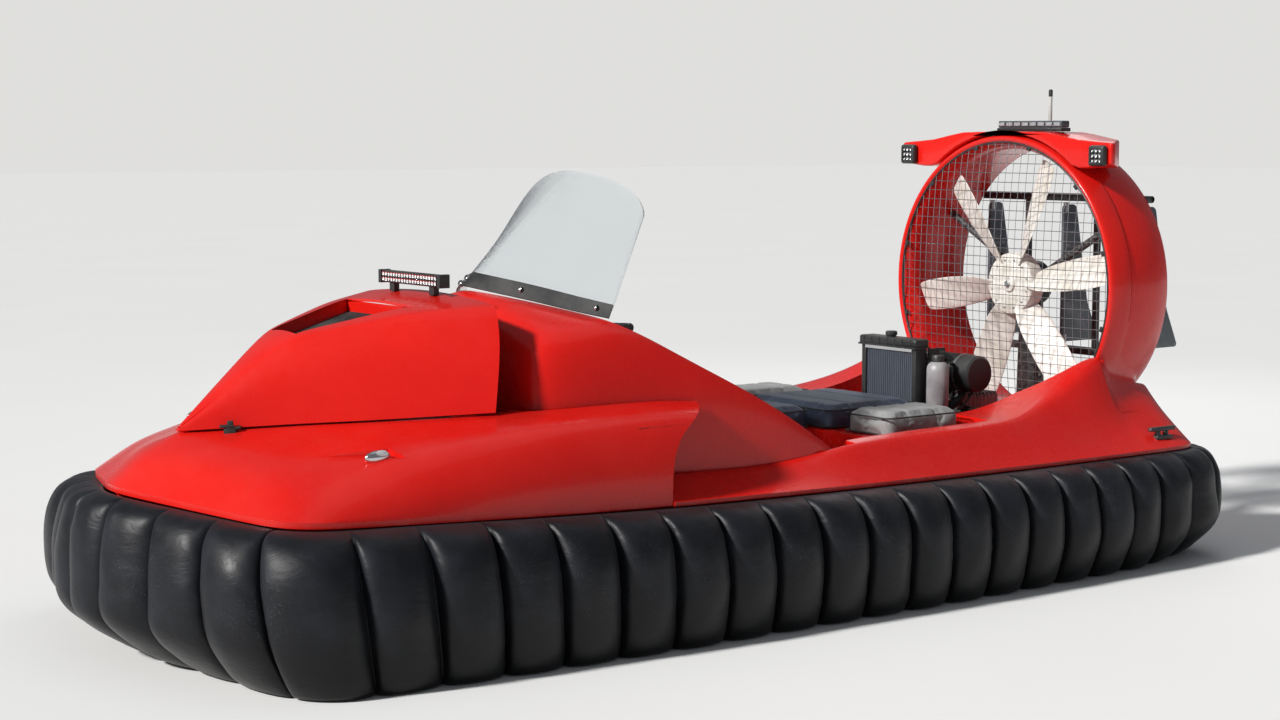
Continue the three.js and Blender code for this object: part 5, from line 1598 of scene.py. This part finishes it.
def makeHandlebar():
    s = steeringShape
    axis = Vector((0, math.sin(math.radians(s["tilt"])), math.cos(math.radians(s["tilt"]))))
    foot = place(*s["foot"])
    carry(turnedPiece("steeringSleeve", [
        (0.0001, 0.0005), (0.0275, 0.0005), (0.0275, 0.008), (0.022, 0.012), (0.022, 0.034), (0.0265, 0.038),
        (0.0265, 0.0455), (0.0001, 0.0458)],
        foot, axis, 32, blackSteel), "root", "dark_steel", "steering_column")
    carry(turnedPiece("barClamp", [
        (0.0001, 0.0475), (0.0215, 0.0475), (0.0215, 0.072), (0.018, 0.076), (0.018, 0.094), (0.0218, 0.097),
        (0.0218, 0.1035), (0.0001, 0.1038)],
        foot, axis, 32, dullAlloy), "handlebar", "dark_steel", "handlebar")
    centre = foot + axis * 0.086
    ends, grips, levers = [], [], []
    for side in (-1, 1):
        knee = centre + Vector((side * s["knee"][0], s["knee"][1], s["knee"][2]))
        end = centre + Vector((side * s["end"][0], s["end"][1], s["end"][2]))
        ends.append(throughPoints([centre, centre.lerp(knee, 0.6), knee, knee.lerp(end, 0.5), end], 24))
        grips.append((knee.lerp(end, 0.47), end + (end - knee).normalized() * 0.003))
        levers.append(throughPoints([knee.lerp(end, 0.36) + Vector((0, -0.016, 0)),
                                     knee.lerp(end, 0.5) + Vector((0, -0.046, -0.002)),
                                     knee.lerp(end, 0.75) + Vector((0, -0.050, -0.004)),
                                     end + Vector((0, -0.046, -0.004))], 14))
    carry(addWires("handlebarTube", ends, 0.0112, blackSteel, sides=16), "handlebar", "dark_steel")
    carry(addWires("barLevers", levers, 0.0045, dullAlloy, sides=10), "handlebar", "dark_steel")
    bm = bmesh.new()
    for a, b in grips:
        length = (b - a).length
        ribs = [(0.0001, 0), (0.0190, 0), (0.0200, 0.004), (0.0190, 0.008)]
        for i in range(9):
            d = 0.012 + i * (length - 0.024) / 9
            ribs += [(0.0168, d), (0.0168, d + 0.005), (0.0154, d + 0.006), (0.0154, d + 0.009)]
        ribs += [(0.0172, length - 0.006), (0.0150, length), (0.0001, length)]
        turnedShape(bm, ribs, a, b - a, 24)
    bmesh.ops.recalc_face_normals(bm, faces=bm.faces)
    addPart("barGrips", bm, softRubber, "handlebar", "dusty_rubber", angle=30)


makeHandlebar()

seatShape = {
    "places": {   # left, right, front, back
        "seat_front": (-0.200, 0.200, -0.050, 0.690), "seat_rear": (-0.270, 0.270, 0.705, 1.185),
        "seat_port": (0.315, 0.585, 0.725, 1.130), "seat_starboard": (-0.585, -0.315, 0.725, 1.130)},
    "low": 0.560, "high": 0.650, "voxel": 0.006, "inset": 0.010, "pressure": 4.0, "swell": 0.014,
    "cap": 0.016, "corner": 0.034, "crown": 0.010, "channels": (-0.36, 0.36), "channelDepth": 0.006,
    "piping": 0.0032, "squareness": 0.16,
}


def limitMoves(piece, rest, cap):
    for vert, start in zip(piece.data.vertices, rest):
        move = vert.co - start
        if move.length > cap:
            vert.co = start + move * (cap / move.length)


def makeCushion(name, left, right, front, back):
    s = seatShape
    bm = bmesh.new()
    addBox(bm, (left + s["inset"], front + s["inset"], s["low"] + 0.001),
           (right - s["inset"], back - s["inset"], s["high"] - s["swell"]))
    uprights = [e for e in bm.edges if abs(e.verts[0].co.z - e.verts[1].co.z) > 0.02]
    bmesh.ops.bevel(bm, geom=uprights, offset=s["corner"], offset_type="OFFSET", segments=5, profile=0.5,
                    affect="EDGES", material=-1)
    bevelAll(bm, 0.008)
    # the centre cushions take the navy painted shade, the side cushions the plain grey
    pad = newObject(name + "Pad", bm, greyVinyl if abs(left + right) > 0.1 else seatShadeVinyl)
    pad.data.remesh_voxel_size = s["voxel"]
    remesh = pad.modifiers.new("even", "REMESH")
    remesh.mode, remesh.voxel_size, remesh.use_smooth_shade = "VOXEL", s["voxel"], True
    applyModifiers(pad)
    rest = [v.co.copy() for v in pad.data.vertices]
    cloth = pad.modifiers.new("stuffing", "CLOTH")
    cloth.settings.use_pressure = True
    cloth.settings.uniform_pressure_force = s["pressure"]
    cloth.settings.effector_weights.gravity = 0
    cloth.settings.quality = 5
    for step in range(1, 21):
        bpy.context.scene.frame_set(step)
    applyModifiers(pad)
    bpy.context.scene.frame_set(1)
    limitMoves(pad, rest, s["cap"])
    centre = place((left + right) / 2, (front + back) / 2, 0)
    half = Vector(((right - left) / 2, (back - front) / 2, 0))
    for vert, start in zip(pad.data.vertices, rest):
        u, v = (start.x - centre.x) / half.x, (start.y - centre.y) / half.y
        if vert.co.z < s["low"] + 0.001 or start.z < s["low"] + 0.004:
            vert.co.z = max(min(vert.co.z, s["low"] + 0.002), s["low"] + 0.0004)
        edge = max(abs(u), abs(v))
        if start.z > s["low"] + 0.05:
            crown = s["crown"] * (1 - u * u) * (1 - v * v)
            vert.co.z = min(vert.co.z + crown, s["high"] + 0.004)
            for line in s["channels"]:   # sewn across the top
                vert.co.z -= s["channelDepth"] * math.exp(-((v - line) * half.y / 0.006) ** 2) * (edge < 0.93)
        vert.co.x = min(max(vert.co.x, centre.x - half.x + 0.001), centre.x + half.x - 0.001)
        vert.co.y = min(max(vert.co.y, centre.y - half.y + 0.001), centre.y + half.y - 0.001)
    subdivide(pad, 1)
    carry(pad, "root", "seat_vinyl", name)
    piping = []
    for z in (s["high"] - 0.016, s["low"] + 0.010):
        line = []
        for i in range(96):
            turn = math.tau * i / 96
            c, sn = math.cos(turn), math.sin(turn)
            x = math.copysign(abs(c) ** s["squareness"], c) * (half.x - 0.006)
            y = math.copysign(abs(sn) ** s["squareness"], sn) * (half.y - 0.006)
            line.append(Vector((centre.x + x, centre.y + y, z)))
        piping.append(throughPoints([*line, line[0]], 160)[:-1])
    beads = addWires(name + "Piping", piping, s["piping"], softRubber, sides=8, closed=True)
    carry(beads, "root", "dusty_rubber")


for name, box in seatShape["places"].items():
    makeCushion(name, *box)
print("cushions sewn")

navShape = {"x": 0.648, "y": -1.510, "z": 0.690, "half": (0.018, 0.047, 0.023),
            "glass": (0.013, 0.026, 0.014), "glassOffset": (0.0065, 0.008, 0.0095)}


def makeNavLights():
    for name, side in (("port", 1), ("starboard", -1)):
        centre = place(side * navShape["x"], navShape["y"], navShape["z"])
        body = bmesh.new()
        bmesh.ops.create_uvsphere(body, u_segments=28, v_segments=14, radius=1)
        bmesh.ops.scale(body, vec=navShape["half"], verts=body.verts)
        bmesh.ops.translate(body, vec=centre, verts=body.verts)
        carry(newObject("navLamp_" + name, body, brightSteel), "root", "chrome_trim", "nav_light_" + name)
        glass = bmesh.new()
        bmesh.ops.create_uvsphere(glass, u_segments=24, v_segments=12, radius=1)
        bmesh.ops.scale(glass, vec=navShape["glass"], verts=glass.verts)
        out, back, up = navShape["glassOffset"]
        bmesh.ops.translate(glass, vec=centre + Vector((side * out, back, up)), verts=glass.verts)
        carry(newObject("navGlass_" + name, glass, lampGlass), "root", "lamp_lens")


makeNavLights()

cleatShape = {"spots": [(0.822, 2.030, 0.476), (-0.822, 2.030, 0.476)], "inset": 0.030,
              "legs": (-0.024, 0.024)}


def makeCleats():
    bm = bmesh.new()
    for x, y, z in cleatShape["spots"]:
        side = 1 if x > 0 else -1
        inset = side * cleatShape["inset"]
        addBox(bm, (x - inset - 0.020, y - 0.046, z + 0.002), (x - inset + 0.020, y + 0.046, z + 0.018))
        for dy in cleatShape["legs"]:
            addBox(bm, (x - inset - 0.010, y + dy - 0.009, z + 0.012),
                   (x - inset + 0.010, y + dy + 0.009, z + 0.042))
        addBox(bm, (x - inset - 0.011, y - 0.072, z + 0.036), (x - inset + 0.011, y + 0.072, z + 0.052))
    bevelAll(bm, 0.004, segments=3)
    addPart("hornCleats", bm, mouldedBlack, "root", "black_plastic")


makeCleats()
print("fittings added")

studioShape = {
    "skyLight": (0.165, 0.175, 0.19), "backdrop": (0.745, 0.74, 0.725),
    "sunPower": 4.5, "sunSpread": 6, "sunTone": (1.0, 0.985, 0.96), "sunFrom": (-0.02, -0.84, 0.54),
    "floor": ((0.85, 0.85, 0.845), (0.89, 0.89, 0.885)), "floorSize": 90,
    "panels": {   # place, aim, width, height, power, tone
        "overhead": ((0.5, 0.6, 7.0), (0, 0, 0.6), 6, 5, 30, (0.97, 0.99, 1.0)),
        "rearRim": ((-4.0, 6.0, 4.5), (0, 1.0, 1.0), 3, 3, 45, (1.0, 1.0, 1.0))},
}
cameraView = {"spot": (6.735, -4.972, 1.70), "pitch": 5.76, "azimuth": 53.6, "lens": 62.69}


def softPanel(name, spot, aim, width, height, power, tone):
    lamp = bpy.data.lights.new(name, "AREA")
    lamp.shape = "RECTANGLE"
    lamp.size, lamp.size_y = width, height
    lamp.energy = power
    lamp.color = tone
    holder = bpy.data.objects.new(name, lamp)
    holder.location = spot
    holder.rotation_euler = (Vector(aim) - Vector(spot)).to_track_quat("-Z", "Y").to_euler()
    bpy.context.scene.collection.objects.link(holder)


def studio():
    material, tree, shader = newFinish("paleFloor", Roughness=0.75)
    tone = useGroup(tree, mottle, Patch_Scale=0.6, Grain_Scale=60.0)
    tree.links.new(mixColour(tree, tone.outputs["Patch"], *studioShape["floor"]), shader.inputs["Base Color"])
    bm = bmesh.new()
    bmesh.ops.create_grid(bm, x_segments=2, y_segments=2, size=studioShape["floorSize"])
    floor = newObject("studioFloor", bm, material)
    world = bpy.data.worlds.new("softSky")
    world.use_nodes = True
    tree = world.node_tree
    # the backdrop is pale to the eye and behind glass, and dimmer as a light
    path = addNode(tree, "ShaderNodeLightPath")
    seen = mathNode(tree, "MAXIMUM", path.outputs["Is Camera Ray"], path.outputs["Is Transmission Ray"])
    tree.links.new(mixColour(tree, seen, studioShape["skyLight"], studioShape["backdrop"]),
                   tree.nodes["Background"].inputs["Color"])
    bpy.context.scene.world = world
    bpy.context.scene.view_settings.view_transform = "Standard"
    sun = bpy.data.lights.new("softSun", "SUN")
    sun.energy = studioShape["sunPower"]
    sun.angle = math.radians(studioShape["sunSpread"])
    sun.color = studioShape["sunTone"]
    holder = bpy.data.objects.new("softSun", sun)
    holder.rotation_euler = (-Vector(studioShape["sunFrom"])).to_track_quat("-Z", "Y").to_euler()
    bpy.context.scene.collection.objects.link(holder)
    for name, panel in studioShape["panels"].items():
        softPanel(name, *panel)


studio()
lens = bpy.data.cameras.new("photoCamera")
lens.sensor_fit = "HORIZONTAL"
lens.sensor_width = 36
lens.lens = cameraView["lens"]
lens.clip_end = 200
camera = bpy.data.objects.new("photoCamera", lens)
camera.location = place(*cameraView["spot"])
camera.rotation_euler = (math.radians(90 - cameraView["pitch"]), 0, math.radians(cameraView["azimuth"]))
bpy.context.scene.collection.objects.link(camera)
bpy.context.scene.camera = camera
print("studio set")
